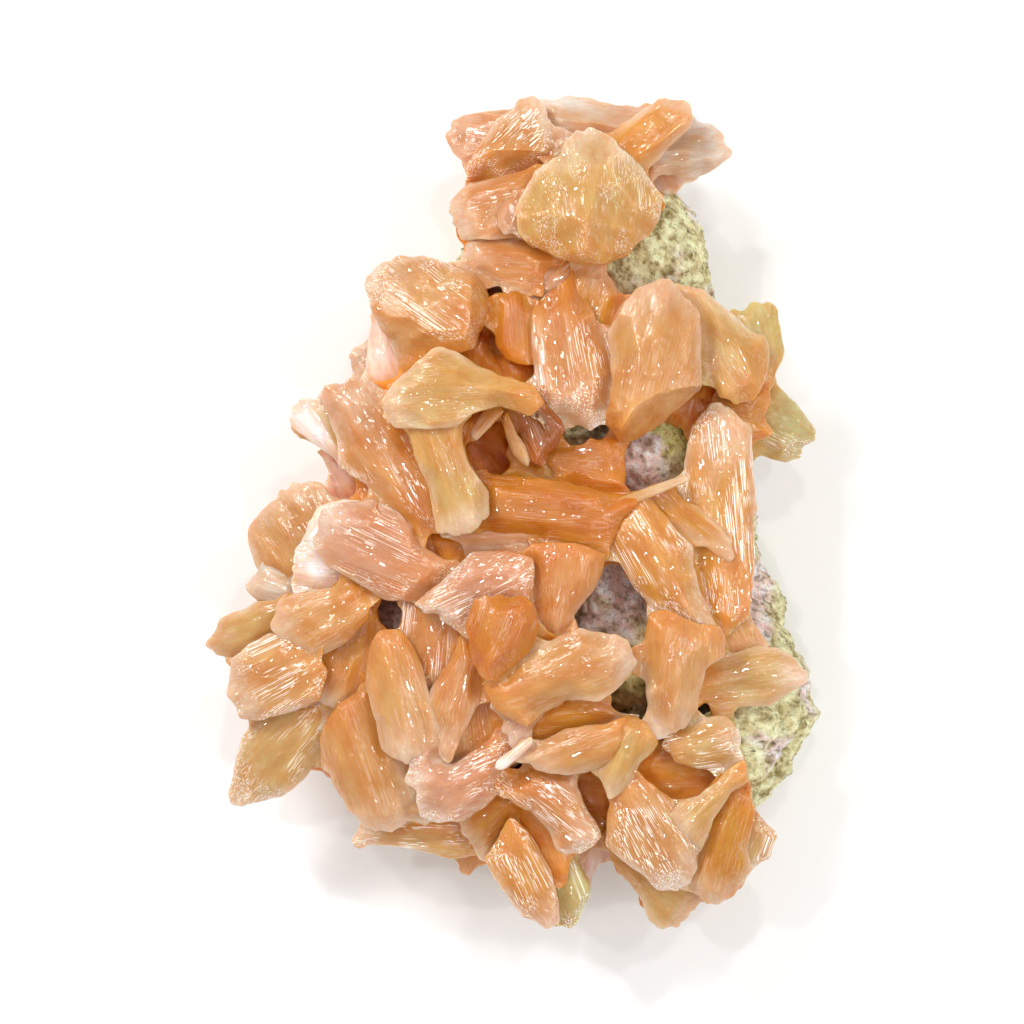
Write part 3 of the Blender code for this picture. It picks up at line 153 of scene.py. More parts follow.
UPPER = [
    ("peach.2", 45, (.05, -.05), (-8, 30), 24, .5,
     [(-23.8, 39.5), (-22, 41), (-18.8, 42.3), (-14.6, 42.9), (-10, 41), (-7, 40.1), (-5.4, 38.6, -1),
      (-4, 36.5, -3), (-3.6, 33.5, -4), (-5.4, 29.5, -3), (-6, 27, -2), (-10, 26), (-13.5, 26.4, -.8),
      (-17.9, 22.8, -4), (-20.4, 28, -2.5), (-23, 32.2, -.6), (-24, 35.5), (-24.2, 37.4)],
     [[(-20.5, 32.4, .6), (-16.5, 32.2, 1), (-14.3, 30, 1), (-13, 28.2, .4)], [(-6.8, 38, 1),
      (-7, 31, .8)]]),
    ("deep.2", 36, (0, 0), (-3, 28), 12, .8,
     [(-5.4, 39), (-2.5, 38.5), (-1.5, 35), (-2, 28), (0, 25.5), (3.6, 25), (3.4, 20.5), (-2, 20.5),
      (-7, 24), (-10, 27), (-6, 30)], []),
    ("rust.2", 41.5, (0, 0), (.5, 28), 14, .8,
     [(-2.6, 34.4), (-1.6, 36), (0, 36.8), (1.4, 36.6), (2.8, 34.8), (3, 31), (3, 27), (2.2, 25.2),
      (1, 24.6), (-1.4, 25.6), (-2.8, 28)],
     [[(-1, 34, .4), (-.6, 27.5, .5)]]),
    ("salmon.3", 44, (0, -.16), (9, 36), 16, .55,
     [(3.3, 33.6), (4.6, 35.5), (7.1, 37.2), (10.8, 40.4), (12.4, 36), (14.6, 30.4), (16.8, 25.2),
      (16.2, 21), (15.6, 16.8, -.8), (14.6, 15.2, -2.4), (13, 13.8, -3.6), (11.2, 13.8, -3.6),
      (7.9, 15.6, -2.6), (5.4, 17.4, -1.6), (4, 19.3, -.6), (3.2, 27.9)],
     [[(5.6, 20.2, .3), (9.4, 19.4, .7), (14, 20, .4)], [(9, 33, .5), (12.6, 26, .7)]]),
    ("amber.1", 39, (0, 0), (13, 33), 14, .7,
     [(10.8, 40.5), (13, 41.2), (16.2, 39.1), (17.6, 37), (18.3, 34.8), (16.6, 31.8), (15.4, 29), (11, 28),
      (8, 34), (9, 38)], []),
    ("peach.3", 47, (0, 0), (22, 22), 22, .55,
     [(20, 36.8), (22, 37.8), (24.6, 38.9), (26, 38.7), (28.2, 36), (29.6, 35), (31, 33), (31.5, 30.4),
      (31.5, 21, -.8), (30.2, 19.5, -3), (24, 14.1, -5), (21.5, 12.5, -5), (17.9, 11.4, -4),
      (15.4, 14.6, -2), (16.5, 20.4), (16.3, 26), (15.7, 29.6), (19, 35.4)],
     [[(30.4, 21, .2), (24, 19.6, .8), (20.5, 17.6, .6), (18, 13.8, 0)], [(25, 37, .4), (23.4, 29, 1.2),
      (24, 21.4, .9)]]),
    ("tan.1", 38.5, (-.05, 0), (36, 24), 16, .6,
     [(27, 37.4), (31, 37.7), (33.3, 35.8), (37.5, 32.4), (40.4, 29.9), (42.2, 29.3), (42.9, 27.5),
      (42.6, 23), (41.4, 20), (39.6, 18.4, -1.5), (34.4, 19), (33.3, 22), (32.6, 27), (31.6, 30.5)],
     [[(40.8, 27.8, .5), (40, 22, .7)]]),
    ("green.1", 29, (0, 0), (40, 27), 9, .7,
     [(37.5, 32.6), (39.6, 34.9), (41, 35.3), (42.2, 34.9), (43.2, 35.2), (44.8, 33.6), (44.6, 31.6),
      (45.3, 29.4), (45.6, 27.2), (45, 25), (43.4, 22.1), (41, 22), (38, 28)], []),
    ("green.2", 26, (-.1, 0), (41, 16), 10, .7,
     [(43.4, 22), (45.4, 20.8), (47.5, 18.3), (50, 15.4), (51.3, 13.4), (50.6, 12), (48.8, 10.8, -.5),
      (48.2, 9.4, -.8), (46.5, 8, -1), (43, 9.2, -1), (38, 10.8), (37, 15), (40, 20)],
     [[(42, 14, .5), (46, 12.6, .8), (49, 12.2, .3)]]),
    ("orange.2", 32, (0, 0), (40, 16), 11, .7,
     [(34, 19), (39, 20.5), (43, 22), (43.4, 18), (42, 16), (44, 13.2), (42, 12.2), (37, 12), (35, 16)], []),
    ("deep.3", 32, (0, 0), (33, 20), 12, .8,
     [(30, 31), (32.5, 28), (34, 22), (36, 18.5), (33, 16), (29.4, 13), (27, 14), (24, 15.6), (25, 20)], []),
    ("orange.3", 39, (0, .02), (35, -6), 16, .7,
     [(31, 16), (33.2, 18), (35.9, 17.9), (40, 13.8), (40.1, 8), (40.6, 2), (40.8, 0), (40.1, -1.3),
      (40.6, -7.5), (39.9, -12), (39.6, -18), (36, -20), (33, -16), (31, -8), (29, -1), (28.4, 2.1),
      (28.7, 8), (29.6, 13.4)],
     [[(31.6, 14, .5), (31, 4, .9), (32, 0, .3)], [(38.8, 12, .4), (39, -10, .5)]]),
    ("amber.21", 40.5, (0, 0), (27, 2), 10, .6,
     [(23, 2), (28.4, 2.1), (31.5, .8), (34.4, -1.6), (36.5, -5), (37.2, -7.4), (36, -8.4), (33.5, -7),
      (31, -4.5), (25, -.5)], []),
    ("deep.4", 33, (0, 0), (32, -8), 14, .9,
     [(24, 0), (30, -2), (36, -7), (38.5, -13), (40, -17), (38, -23), (32, -21), (29, -14), (27, -6)], []),
    ("tan.21", 45.5, (-.06, .02), (17, 1.2), 2.4, .8,
     [(15.5, .4), (16, 1.9), (28.8, 6.3), (29.5, 5.6), (29, 4.9), (17.5, .2)], []),
    ("orange.4", 44.5, (.03, .02), (19, -2), 18, .5,
     [(16.4, -5.4), (16.2, -1), (18, 1.6), (21.2, 2.6), (23, 2.1), (25.5, -.5), (28, -3.8), (30, -5.6),
      (30.3, -9), (31.3, -13), (33, -16), (32.6, -17.4), (31.4, -19.3), (30, -19.8), (25.4, -16.8),
      (22.9, -15.8), (20.4, -13), (18, -8.8)],
     [[(20, -2, .6), (25, -8, 1.3), (29.4, -15.5, .8)]]),
    ("rust.3", 47.5, (0, 0), (12, 0), 16, .7,
     [(-5, 6.4), (.5, 5.8), (8, 5.2), (16.2, 3), (20, 3.2), (21, 1.4), (18, -1.6), (16.5, -5.4),
      (15.4, -7), (10.5, -5.5), (4.6, -4.2), (-.4, -3.8), (-5, -3)],
     [[(-2, 3.2, .8), (8, 2, 1.2), (15, .2, .5)]]),
    ("rose.2", 46, (0, .03), (10, -4), 12, .6,
     [(-12.2, -3.8), (-4, 0), (6, -.8), (14.5, -2.8), (16.3, -5.4), (15.8, -7.2), (8, -5.4), (1, -5.2),
      (-7.1, -5.8)], []),
    ("rust.1", 40.5, (0, 0), (15, 7), 12, .6,
     [(4.3, 8), (5.4, 9), (6.6, 10.5), (9.6, 10.8), (14.6, 12), (17.4, 12.2), (18.6, 10.2), (19.1, 6.2),
      (18, 3), (13, 3), (10.5, 4), (6, 6.8)],
     [[(6.8, 9.2, .5), (12, 8.6, .8), (15.4, 10, .4)]]),
]

CENTRE = [
    ("cream.2", 56, (-.1, 0), (-6, 20), 26, .6,
     [(-21.8, 17), (-20, 20.5), (-16.7, 23.6), (-13.3, 26.8), (-11.6, 27.4), (-9.6, 26.6), (-5.4, 24.1),
      (-2, 22.6), (3.7, 20.8), (5.4, 18), (3, 15.6), (-2, 17.4), (-7, 16), (-9, 14), (-13, 13.6),
      (-17, 13.6), (-19.5, 13.8)],
     [[(-16.5, 21, .4), (-9, 21.6, 1.4), (0, 19.6, .8)]]),
    ("umber.1", 46, (-.1, 0), (4, 18), 16, .7,
     [(-1, 20.5), (3.7, 21), (6, 17.3), (8.2, 15.4), (8.8, 13), (6.8, 10.4), (5, 7.6), (2.4, 8.5), (1, 13),
      (-1, 18)], []),
    ("cream.3", 54, (0, .1), (-9, 12), 24, .6,
     [(-17.2, 14.6), (-12, 17), (-7.8, 16.6), (-8.2, 12), (-7.4, 8.5), (-5.4, 5.5), (-3.8, 3.5),
      (-3.8, -.5), (-5, -2), (-7.1, -3.4), (-9.5, -3.8), (-12.6, -2.9), (-13.5, 2.1), (-14.3, 5.4),
      (-16.3, 9.6)],
     [[(-13.4, 13, .4), (-11.6, 6, 1), (-9, -.6, .8)]]),
    ("amber.22", 48.5, (.05, .1), (-3, 17), 4, .8,
     [(-7.1, 13.4), (-6.7, 12), (-6, 11.6), (-4, 13.6), (-1.2, 16.6), (-2.4, 18), (-4.2, 17.4)], []),
    ("amber.23", 46.5, (0, .2), (0, 15), 4, .8,
     [(-1.7, 16), (-.8, 17), (.8, 13), (2.3, 11), (3.1, 8.8), (2.6, 7.2), (0, 9.6), (-.9, 12)], []),
    ("ember.1", 35, (0, 0), (-3, 10), 10, .9,
     [(-9, 16), (0, 17), (3, 9), (1, 4), (-6, 4), (-10, 8)], []),
    ("amber.4", 41, (0, 0), (3, 6), 12, .7,
     [(-.4, 9.6), (0, 5), (5, 3.6), (9, 4.4), (7, 8.4), (3, 9.6)], []),
]

LEFT = [
    ("salmon.4", 45, (.06, 0), (-15, 2), 20, .5,
     [(-31.8, 19.2), (-30.8, 20.8), (-28, 21.4), (-24, 22.2), (-22.1, 20.8), (-18, 19), (-16, 12),
      (-12, 4), (-12, -3), (-15.4, -4.6), (-17.5, -1.5), (-22.4, 3), (-27, 6.3), (-28.6, 7.5),
      (-28.9, 11.2), (-30.4, 15.8)],
     [[(-28.4, 17, .6), (-21.6, 8, 1.3), (-16, 1, .8)]]),
    ("pale.4", 35, (.1, 0), (-29, 10), 10, .6,
     [(-37.1, 15.4), (-36.9, 17.1), (-35.8, 18.4), (-33, 19.3), (-31, 19.6), (-29, 15.5), (-27, 9),
      (-28.4, 7.8), (-32, 10.5), (-36.3, 13.8)],
     [[(-34.6, 16.6, .5), (-30, 10.6, .5)]]),
    ("tan.2", 31, (0, 0), (-33, 14), 6, .8,
     [(-36.6, 13.8), (-35.6, 12.2), (-34, 12.2), (-32, 13), (-34, 15.4)], []),
    ("grey.5", 35, (0, 0), (-29, 18), 8, .7,
     [(-33.2, 18.5), (-32, 20.2), (-29.6, 21.5), (-27, 21), (-27, 16), (-31, 16.4)], []),
    ("tan.3", 39, (.1, 0), (-29, 14), 8, .7,
     [(-32.7, 16.8), (-31.5, 18.2), (-29, 16), (-27.6, 12), (-29, 10.4), (-31.6, 14.8)], []),
    ("pale.5", 26, (0, 0), (-27, 6), 8, .7,
     [(-31.8, 9.9), (-29.6, 8.8), (-26, 8.6), (-25, 3), (-28.6, 2.2), (-29.6, 5.2), (-31, 7.4)], []),
    ("pale.6", 36, (0, .1), (-20, 27), 14, .6,
     [(-24.2, 27.6), (-23.6, 31), (-22.8, 32.6), (-19, 30), (-16, 23), (-18, 20), (-22, 20.4),
      (-24.4, 22.6)],
     [[(-22, 29, .3), (-20.5, 23, .5)]]),
    ("grey.6", 31, (0, 0), (-22, 26), 10, .7,
     [(-27, 26), (-26.7, 27.4), (-24.5, 28.6), (-22, 29.5), (-20.5, 24), (-23, 21.5), (-26.2, 22),
      (-27.2, 24)], []),
    ("rose.3", 46.5, (.05, -.03), (-13, -8), 14, .55,
     [(-32.9, -3), (-32.1, .5), (-27.6, 1.6), (-22.8, 2.1), (-19.6, .8), (-17, -2), (-15.4, -5.6),
      (-9.6, -8.6), (-11, -11.5), (-15.4, -14.8), (-21.2, -14.8), (-25.4, -11.8), (-31.2, -8.8),
      (-32.8, -6)],
     [[(-30.6, -.9, .4), (-24, -2.4, 1.3), (-17, -6, 1.3), (-12.4, -9, .6)]]),
    ("pale.7", 43.5, (.04, 0), (-28, 0), 6, .8,
     [(-35, -4.6), (-33.9, -2.6), (-32.4, .9), (-27.6, 2.3), (-26, .6), (-30, -4), (-33, -5.4)], []),
    ("pale.8", 39, (.05, 0), (-28, -9), 11, .6,
     [(-36.6, -7.8), (-35.4, -5), (-33, -3.2), (-30, -3), (-27, -8), (-25.6, -11), (-27.6, -12.9),
      (-31.5, -13.1), (-35.6, -12.2), (-36.7, -11)],
     [[(-34.6, -6.8, .4), (-30, -6.4, .6)]]),
    ("peach.5", 35, (.14, -.05), (-33, -10), 16, .5,
     [(-44.1, -3.8), (-43.6, -1.8), (-42.2, .4), (-37, 4.7), (-33.7, 4.9), (-31.8, 4.8), (-29.6, 2),
      (-28, -6), (-31, -13.4), (-36, -14), (-40.4, -11.4), (-42.7, -9.6), (-43.7, -6)],
     [[(-40.5, .2, .6), (-37.4, -4, 1.1), (-37.6, -10, .6)]]),
    ("grey.7", 34, (.1, 0), (-37, -13.6), 7, .7,
     [(-44.9, -12.7), (-42.4, -10), (-40.6, -9.8), (-37.1, -12.8), (-35, -14.3), (-36, -15.4),
      (-42.4, -14.9)],
     [[(-42.6, -12, .4), (-38, -13.6, .5)]]),
    ("tan.4", 34, (.12, 0), (-38, -17), 10, .5,
     [(-51.2, -22.4), (-50.3, -20.4), (-48.8, -17.8), (-45.4, -16.3), (-42.4, -14.9), (-37, -14.6),
      (-34, -16), (-36, -20), (-41.5, -21.5), (-45.2, -24.1), (-47.2, -24.2), (-51, -23.2)],
     [[(-49, -21, .4), (-43, -18.4, 1), (-38, -16.4, .5)]]),
    ("peach.6", 42, (.05, 0), (-28, -15), 18, .6,
     [(-38.4, -14), (-30, -12.6), (-26, -11.6), (-23.4, -14), (-23.6, -17.5), (-27, -21.5), (-31, -23.6),
      (-34.5, -25), (-37.6, -22.5), (-40.4, -18.8)],
     [[(-36.6, -16.6, .4), (-31, -20, 1), (-28, -15.4, .8)]]),
    ("orange.5", 38, (0, 0), (-27, -21), 16, .8,
     [(-27, -12.6), (-23, -15), (-22.2, -17.5), (-23, -21), (-24.4, -26), (-26, -30.4), (-30, -33),
      (-34.6, -29), (-32, -21)],
     [[(-29, -20, .3), (-30, -28, .8)]]),
    ("peach.7", 39, (.07, .02), (-33, -24), 18, .6,
     [(-47.6, -28), (-46.8, -24.4), (-43.6, -22), (-40, -20), (-34, -22.4), (-30.4, -26), (-32, -31.4),
      (-37, -33.4), (-42.2, -34.7), (-44.8, -34.5), (-47.2, -30.6)],
     [[(-44, -30.6, .4), (-37, -31.4, .5)], [(-43, -24, .5), (-37, -25.6, .8)]]),
    ("amber.5", 36.5, (0, 0), (-28, -30), 12, .7,
     [(-30, -28), (-26.4, -28), (-25.9, -30.6), (-27, -33), (-32, -35.4), (-33, -31)], []),
    ("tan.5", 31, (.1, .1), (-36, -34), 12, .5,
     [(-47.4, -49), (-47.3, -47), (-46.6, -42.6), (-45.2, -37.6), (-42.2, -34.6), (-36, -32), (-31, -31.5),
      (-31, -36), (-32.1, -41), (-35, -45), (-38.5, -47.8), (-42, -48.4), (-45.4, -49.4)],
     [[(-44.6, -46, .4), (-38.6, -39.6, 1), (-34.4, -35, .7)]]),
]

LOWER = [
    ("peach.8", 38, (.02, .05), (-26, -38), 16, .6,
     [(-32.2, -38), (-30.6, -34.2), (-28.6, -31.8), (-25, -29.6), (-21, -31), (-20, -38), (-18, -44),
      (-14.6, -50), (-19, -53), (-24.3, -53.3), (-27.8, -49), (-29.8, -45.5), (-30.4, -43.7),
      (-31.8, -42.8)],
     [[(-28, -35.4, .6), (-26.6, -42, 1.2), (-22, -50, .7)]]),
    ("amber.6", 37.5, (0, 0), (-19, -42), 12, .7,
     [(-23, -36), (-19, -38), (-15, -42), (-12, -48), (-14, -52), (-18, -52), (-21, -46)], []),
    ("peach.9", 46, (.03, 0), (-18, -30), 18, .6,
     [(-24.4, -28.4), (-24.2, -24.5), (-23, -21), (-22, -19.4), (-18, -19.6), (-15.4, -24), (-13.6, -30),
      (-12.2, -34), (-11.6, -39), (-14.6, -41.2), (-17.5, -41.6), (-21.6, -39.7), (-22.6, -35),
      (-23.4, -32)],
     [[(-21.4, -22.6, .5), (-19, -30, 1.2), (-17, -38, .9)]]),
    ("salmon.5", 44, (0, 0), (-13, -23), 16, .7,
     [(-18, -15), (-12, -13.6), (-7, -18), (-6.6, -22), (-9, -26), (-12, -30), (-14.4, -31.6),
      (-16, -28.5), (-17.4, -26), (-18.5, -20.5)],
     [[(-14.6, -17, .6), (-13.4, -27, .8)]]),
    ("salmon.6", 46, (0, -.04), (-9, -29), 16, .6,
     [(-8, -21), (-5.4, -23), (-4.6, -27.2), (-5, -30), (-7, -34.8), (-8.6, -38), (-10, -41.6),
      (-12.4, -40), (-13.7, -34.5), (-14.6, -31.5), (-12, -27)],
     [[(-7.6, -25, .5), (-10.6, -33, 1)]]),
    ("rose.4", 51, (-.04, -.04), (-2, -11), 14, .6,
     [(-16, -15), (-12, -11.7), (-9.6, -9.4), (-6.8, -6.6), (-.4, -6.2), (3.6, -7.6), (3.8, -12.6),
      (0, -15), (-5, -16), (-8, -19.4), (-9.9, -19.4), (-12.4, -17), (-14.8, -16.6)],
     [[(-12.4, -15, .5), (-6, -10.6, 1), (1, -9.4, .7)]]),
    ("salmon.7", 48, (0, .03), (9, -10), 16, .6,
     [(3, -5), (10.4, -5), (15.9, -7), (14.2, -12), (10.4, -17), (8.8, -20), (6.2, -21.6), (4, -16),
      (2.8, -9.6)],
     [[(5, -7.5, .5), (6.2, -17, .7)], [(12, -8.2, .5), (9.2, -16, .7)]]),
    ("rust.4", 55.5, (0, .04), (-1, -21), 22, .6,
     [(-6.2, -14), (-1.2, -13.9), (2.2, -13.9), (3.6, -15.4), (4.6, -19), (2.8, -23.4), (-2, -27.4),
      (-3.8, -27.9), (-5.4, -27), (-7, -23), (-7.6, -18.8), (-7, -16)],
     [[(-4, -17, .7), (-3.2, -24, 1.2)], [(1, -16.6, .7), (.6, -21, .7)]]),
    ("amber.7", 50, (0, 0), (3.5, -20), 14, .7,
     [(0, -17), (3, -17), (5.2, -18.8), (6.5, -21.4), (4.5, -23), (0, -23)], []),
    ("peach.10", 52.5, (.02, .02), (4, -28), 14, .6,
     [(-4.4, -29.8), (-1, -27.4), (2.9, -23.2), (8.8, -20), (11, -19.2), (14.6, -19.9), (19.2, -21.1),
      (20.6, -24.9), (19.2, -27.6), (16, -30.4), (14.6, -31.3), (9, -31), (5, -33.4), (2.4, -35.8),
      (-3, -32.6)],
     [[(-1, -29.6, .6), (6, -26, 1.3), (12, -23.2, .8)], [(4, -31.4, .5), (12, -28.8, .9), (17, -26, .6)]]),
    ("rose.5", 48, (0, 0), (3, -33), 14, .7,
     [(-2, -32), (3, -30), (7, -30.4), (5, -33.6), (3, -36.4), (.6, -38.2), (-1.6, -36)], []),
    ("orange.6", 42, (0, 0), (-5, -34), 14, .9,
     [(-9, -30), (-4, -28), (1, -32), (1.4, -38), (0, -41), (-4, -42), (-9, -41)], []),
    ("rose.6", 44.5, (0, 0), (-8, -44), 18, .7,
     [(-17, -42.4), (-16.2, -40.4), (-12.4, -41), (-10, -41.8), (-5.4, -39), (-2.8, -36.6), (-.2, -38),
      (.2, -41), (-1.2, -44), (-2, -46.5), (-4.5, -49), (-8, -51.4), (-13, -51.7), (-15.2, -50.8),
      (-16, -46.5), (-17.6, -45)],
     [[(-14, -44.6, .5), (-7, -48, 1.2)], [(-11, -43, .4), (-4, -41, .8)]]),
    ("tan.23", 29, (0, -.02), (-12, -53), 7, .6,
     [(-26.8, -56.2), (-26.6, -54.4), (-25.2, -53), (-23, -52), (-18.8, -51), (-8, -50.6), (-6, -53),
      (-5.6, -57), (-8, -58), (-11.4, -58), (-15, -56.8), (-18.8, -56.2), (-23.8, -55.6), (-26.2, -56.4)],
     [[(-24, -54.4, .4), (-15, -54, .9), (-9.4, -54.4, .5)]]),
    ("tan.7", 24, (0, 0), (-7.4, -56), 8, .8,
     [(-8.8, -57), (-9, -60), (-8.4, -60.9), (-7.5, -61.3), (-6.7, -60.9), (-5.8, -59), (-5.2, -57),
      (-6.6, -54)], []),
    ("amber.8", 35, (0, .04), (-4, -51), 16, .7,
     [(-9.4, -50.6), (-4, -48), (0, -47), (1, -50), (0, -53), (-1.8, -55.4), (-3, -57.4), (-4.8, -57.7),
      (-7, -55.6), (-8.8, -53)], []),
]

FOOT = [
    ("pale.9", 49, (.05, .05), (2, -38), 6, .9,
     [(-2.9, -42.6), (-2.6, -41.1), (2.2, -37.5), (3.4, -37), (3.4, -38.6), (-1.2, -42.6)], []),
    ("peach.11", 48, (0, 0), (11, -39), 18, .6,
     [(1.6, -40.4), (4.2, -38.2), (9, -35.8), (16, -34.8), (19.2, -33.8), (19, -38), (16, -42),
      (10.6, -43.6), (8, -43.5), (4.6, -42.7), (2.6, -41.8)],
     [[(5, -40.2, .5), (12, -38.6, 1), (16.6, -36.2, .5)]]),
    ("amber.9", 45, (0, 0), (11, -34), 14, .7,
     [(4, -32.6), (8, -30.6), (14.6, -31), (18, -33), (20, -34.4), (14, -36), (8, -37.6), (3, -37)],
     [[(7, -33.4, .6), (14, -33, .5)]]),
    ("cream.4", 46.5, (0, .02), (19, -39), 16, .6,
     [(18.6, -33.4), (22, -34.4), (24.5, -38.3), (21.4, -41.4), (19.8, -44.5), (17.8, -47), (16, -47.7),
      (14, -43.4), (16.4, -39)],
     [[(18.8, -36.4, .5), (17.4, -42.6, .8)]]),
    ("salmon.8", 42, (0, .02), (7, -47), 18, .6,
     [(-1.2, -46.8), (-.4, -45), (2.2, -42.6), (8.5, -42.8), (11, -46), (12.6, -49.5), (14.8, -53),
      (14.8, -54.4), (12, -56.2), (9, -57), (7.6, -56.4), (6, -53), (3, -49.8), (.4, -48.6)],
     [[(1.8, -45.6, .5), (7, -48, 1.3), (11, -54, .8)]]),
    ("orange.7", 36, (-.04, .08), (2, -55), 14, .6,
     [(-4.6, -57.4), (-2.6, -54.8), (-.4, -50.6), (2.6, -53), (5, -57), (6.9, -60.6), (7.7, -65),
      (7.8, -68), (6.4, -69.8), (5, -69.2), (1.8, -67.7), (-1, -64), (-3, -61.2)],
     [[(-1.6, -58.6, .5), (2.5, -64, 1), (5.4, -67.8, .4)], [(2.2, -56, .5), (5.4, -63, .6)]]),
    ("green.3", 30, (0, .05), (8, -58), 12, .7,
     [(6, -55), (10.3, -57), (12.9, -61.6), (13.2, -63.4), (12.9, -65), (11, -68), (9.9, -69.7),
      (8, -68.6), (6, -64), (4, -58)],
     [[(9.6, -59.6, .4), (10.4, -66.6, .6)]]),
    ("deep.5", 34, (0, 0), (6, -54), 14, .8,
     [(0, -49), (5, -48), (9, -53), (10, -57.4), (9, -62), (6.6, -61), (3.4, -56)], []),
    ("grey.8", 27, (0, 0), (12, -54), 7, .8,
     [(10.5, -56.6), (12, -57.5), (14.8, -56), (15.6, -53), (12, -52)], []),
    ("peach.12", 41, (0, .05), (20, -52), 20, .55,
     [(15.4, -55.2), (16, -49), (18.4, -45), (21.6, -44), (26, -47), (29, -51), (31.3, -55.6), (30.4, -60),
      (29.4, -62.4), (27.8, -63.2), (24.8, -63.5), (21.2, -60), (18, -57.8)],
     [[(17.6, -50.4, .5), (22.6, -57, 1.3), (25.6, -62, .6)], [(22.4, -47.4, .4), (29, -56, .8)]]),
    ("tan.8", 31, (0, .05), (23, -57), 16, .6,
     [(15.8, -55.4), (17.8, -60.4), (20.6, -63), (23, -68.6), (25, -69.9), (26.4, -69.4), (27.8, -69.6),
      (29, -68.6), (31.9, -65.3), (34.4, -65.4), (34, -60), (28, -56), (20, -54)],
     [[(21.6, -62, .5), (25.6, -67.4, .6)], [(28, -64, .4), (30, -61, .6)]]),
    ("amber.10", 37, (0, .05), (34, -54), 18, .7,
     [(29.2, -62), (31, -56), (33, -50), (36, -45.6), (39.4, -46), (40.5, -50), (39.4, -56), (40, -60),
      (37, -64), (34.4, -65.4), (31.4, -65)],
     [[(37, -48.6, .5), (33.4, -58.6, .9)]]),
    ("tan.9", 34, (-.03, .04), (38, -54), 16, .6,
     [(37, -47.6), (40.8, -50.2), (44.3, -53.7), (44.3, -54.6), (42.9, -57.9), (41, -59), (38, -61.4),
      (36.4, -64.2), (34.4, -64), (35, -56)],
     [[(41, -53.4, .4), (38.4, -59, .6)]]),
    ("cream.5", 42.5, (0, .02), (34, -46), 18, .6,
     [(26, -50.2), (28, -47.8), (31, -47), (34, -44.6), (37, -41.6), (38.6, -41), (39.4, -45),
      (36.4, -46.6), (33.6, -51), (31.4, -56.2), (28.2, -54.4)],
     [[(30, -51, .5), (36, -44.4, .6)]]),
    ("tan.10", 41.5, (0, 0), (31, -39), 16, .7,
     [(31, -34.4), (33, -33.9), (36, -33.8), (37.7, -35.6), (38, -38), (37.6, -40.4), (35, -42.4),
      (31.7, -43), (27, -41.6), (25.6, -38.5), (28, -36)],
     [[(28.6, -38.8, .3), (34, -38, .7)]]),
    ("orange.8", 36, (0, 0), (28, -43), 16, .8,
     [(23.6, -37.6), (28, -36), (31.5, -39), (32.5, -42.5), (36, -42), (34, -47.4), (27, -49), (22, -47.4),
      (19.6, -43)], []),
    ("green.4", 34, (0, .02), (36, -44), 12, .7,
     [(33, -34.4), (37, -34.4), (38, -38), (39.4, -43), (40.3, -48), (39, -51), (35, -47), (34, -40)], []),
]

RIGHT = [
    ("peach.13", 46, (0, 0), (28, -23), 20, .6,
     [(22.7, -16.6), (25.4, -16), (28.8, -17.6), (31.2, -18.6), (34.6, -19), (35.5, -21.2), (35.3, -24),
      (32.2, -26), (30.8, -31.2), (30.8, -33.2), (28.8, -35.8), (27, -36.6), (25, -36.6), (22.6, -32.6),
      (21.8, -27), (21.5, -23)],
     [[(25, -20, .5), (27, -27, 1.3), (27.8, -33.6, .6)]]),
    ("tan.11", 35.5, (-.06, 0), (35, -28), 12, .5,
     [(30, -31), (32, -25.5), (38.8, -22.8), (41.2, -22.3), (44.6, -22.8), (46.8, -23.8), (49.4, -27.2),
      (49.1, -28.3), (46.2, -30.4), (43, -32.5), (36, -32.4)],
     [[(36, -28, .5), (42, -27, 1), (47, -27.4, .4)]]),
    ("amber.11", 36, (0, 0), (37, -19), 14, .7,
     [(34, -12), (39.6, -14.6), (40, -18), (42, -21), (43.4, -23), (38, -25), (33, -26), (31, -22),
      (32.5, -17)],
     [[(37, -16, .4), (37, -22, .6)]]),
]

UNDER = [
    ("deep.6", 39, (0, 0), (-18, 6), 14, .9,
     [(-24, 21), (-14, 25), (-6, 20), (-9, 6), (-12, -6), (-20, -12), (-25, -8), (-26, 4)], []),
    ("orange.9", 42, (0, 0), (-8, -12), 16, .9,
     [(-13, -2), (0, -3), (5, -9), (4, -22), (-2, -27), (-8, -28), (-16.6, -24), (-17, -14), (-16, -6)], []),
    ("deep.7", 39, (0, 0), (8, -2), 14, .9,
     [(-4, 5), (17, 5), (22, -2), (21, -10), (15.6, -8), (10, -5), (-2, -6)], []),
    ("deep.8", 35, (0, 0), (-6, -44), 14, .9,
     [(-22, -34), (-12, -28), (4, -34), (12, -36), (12, -46), (4, -50), (-8, -52), (-20, -48)], []),
    ("deep.9", 33, (0, 0), (22, -50), 14, .9,
     [(4, -44), (14, -40), (26, -42), (36, -44), (38, -50), (34, -58), (26, -60), (16, -55), (8, -53)], []),
    ("deep.10", 33, (0, 0), (-32, -18), 14, .8,
     [(-39, -8), (-30, -3), (-24, -12), (-23.4, -20), (-26, -31), (-34, -34), (-41, -28), (-40, -16)], []),
    ("deep.11", 35, (0, 0), (0, 28), 12, .9,
     [(-16, 35), (-4, 38), (8, 38), (16, 32), (14, 20), (4, 15), (-8, 20), (-16, 26)], []),
]

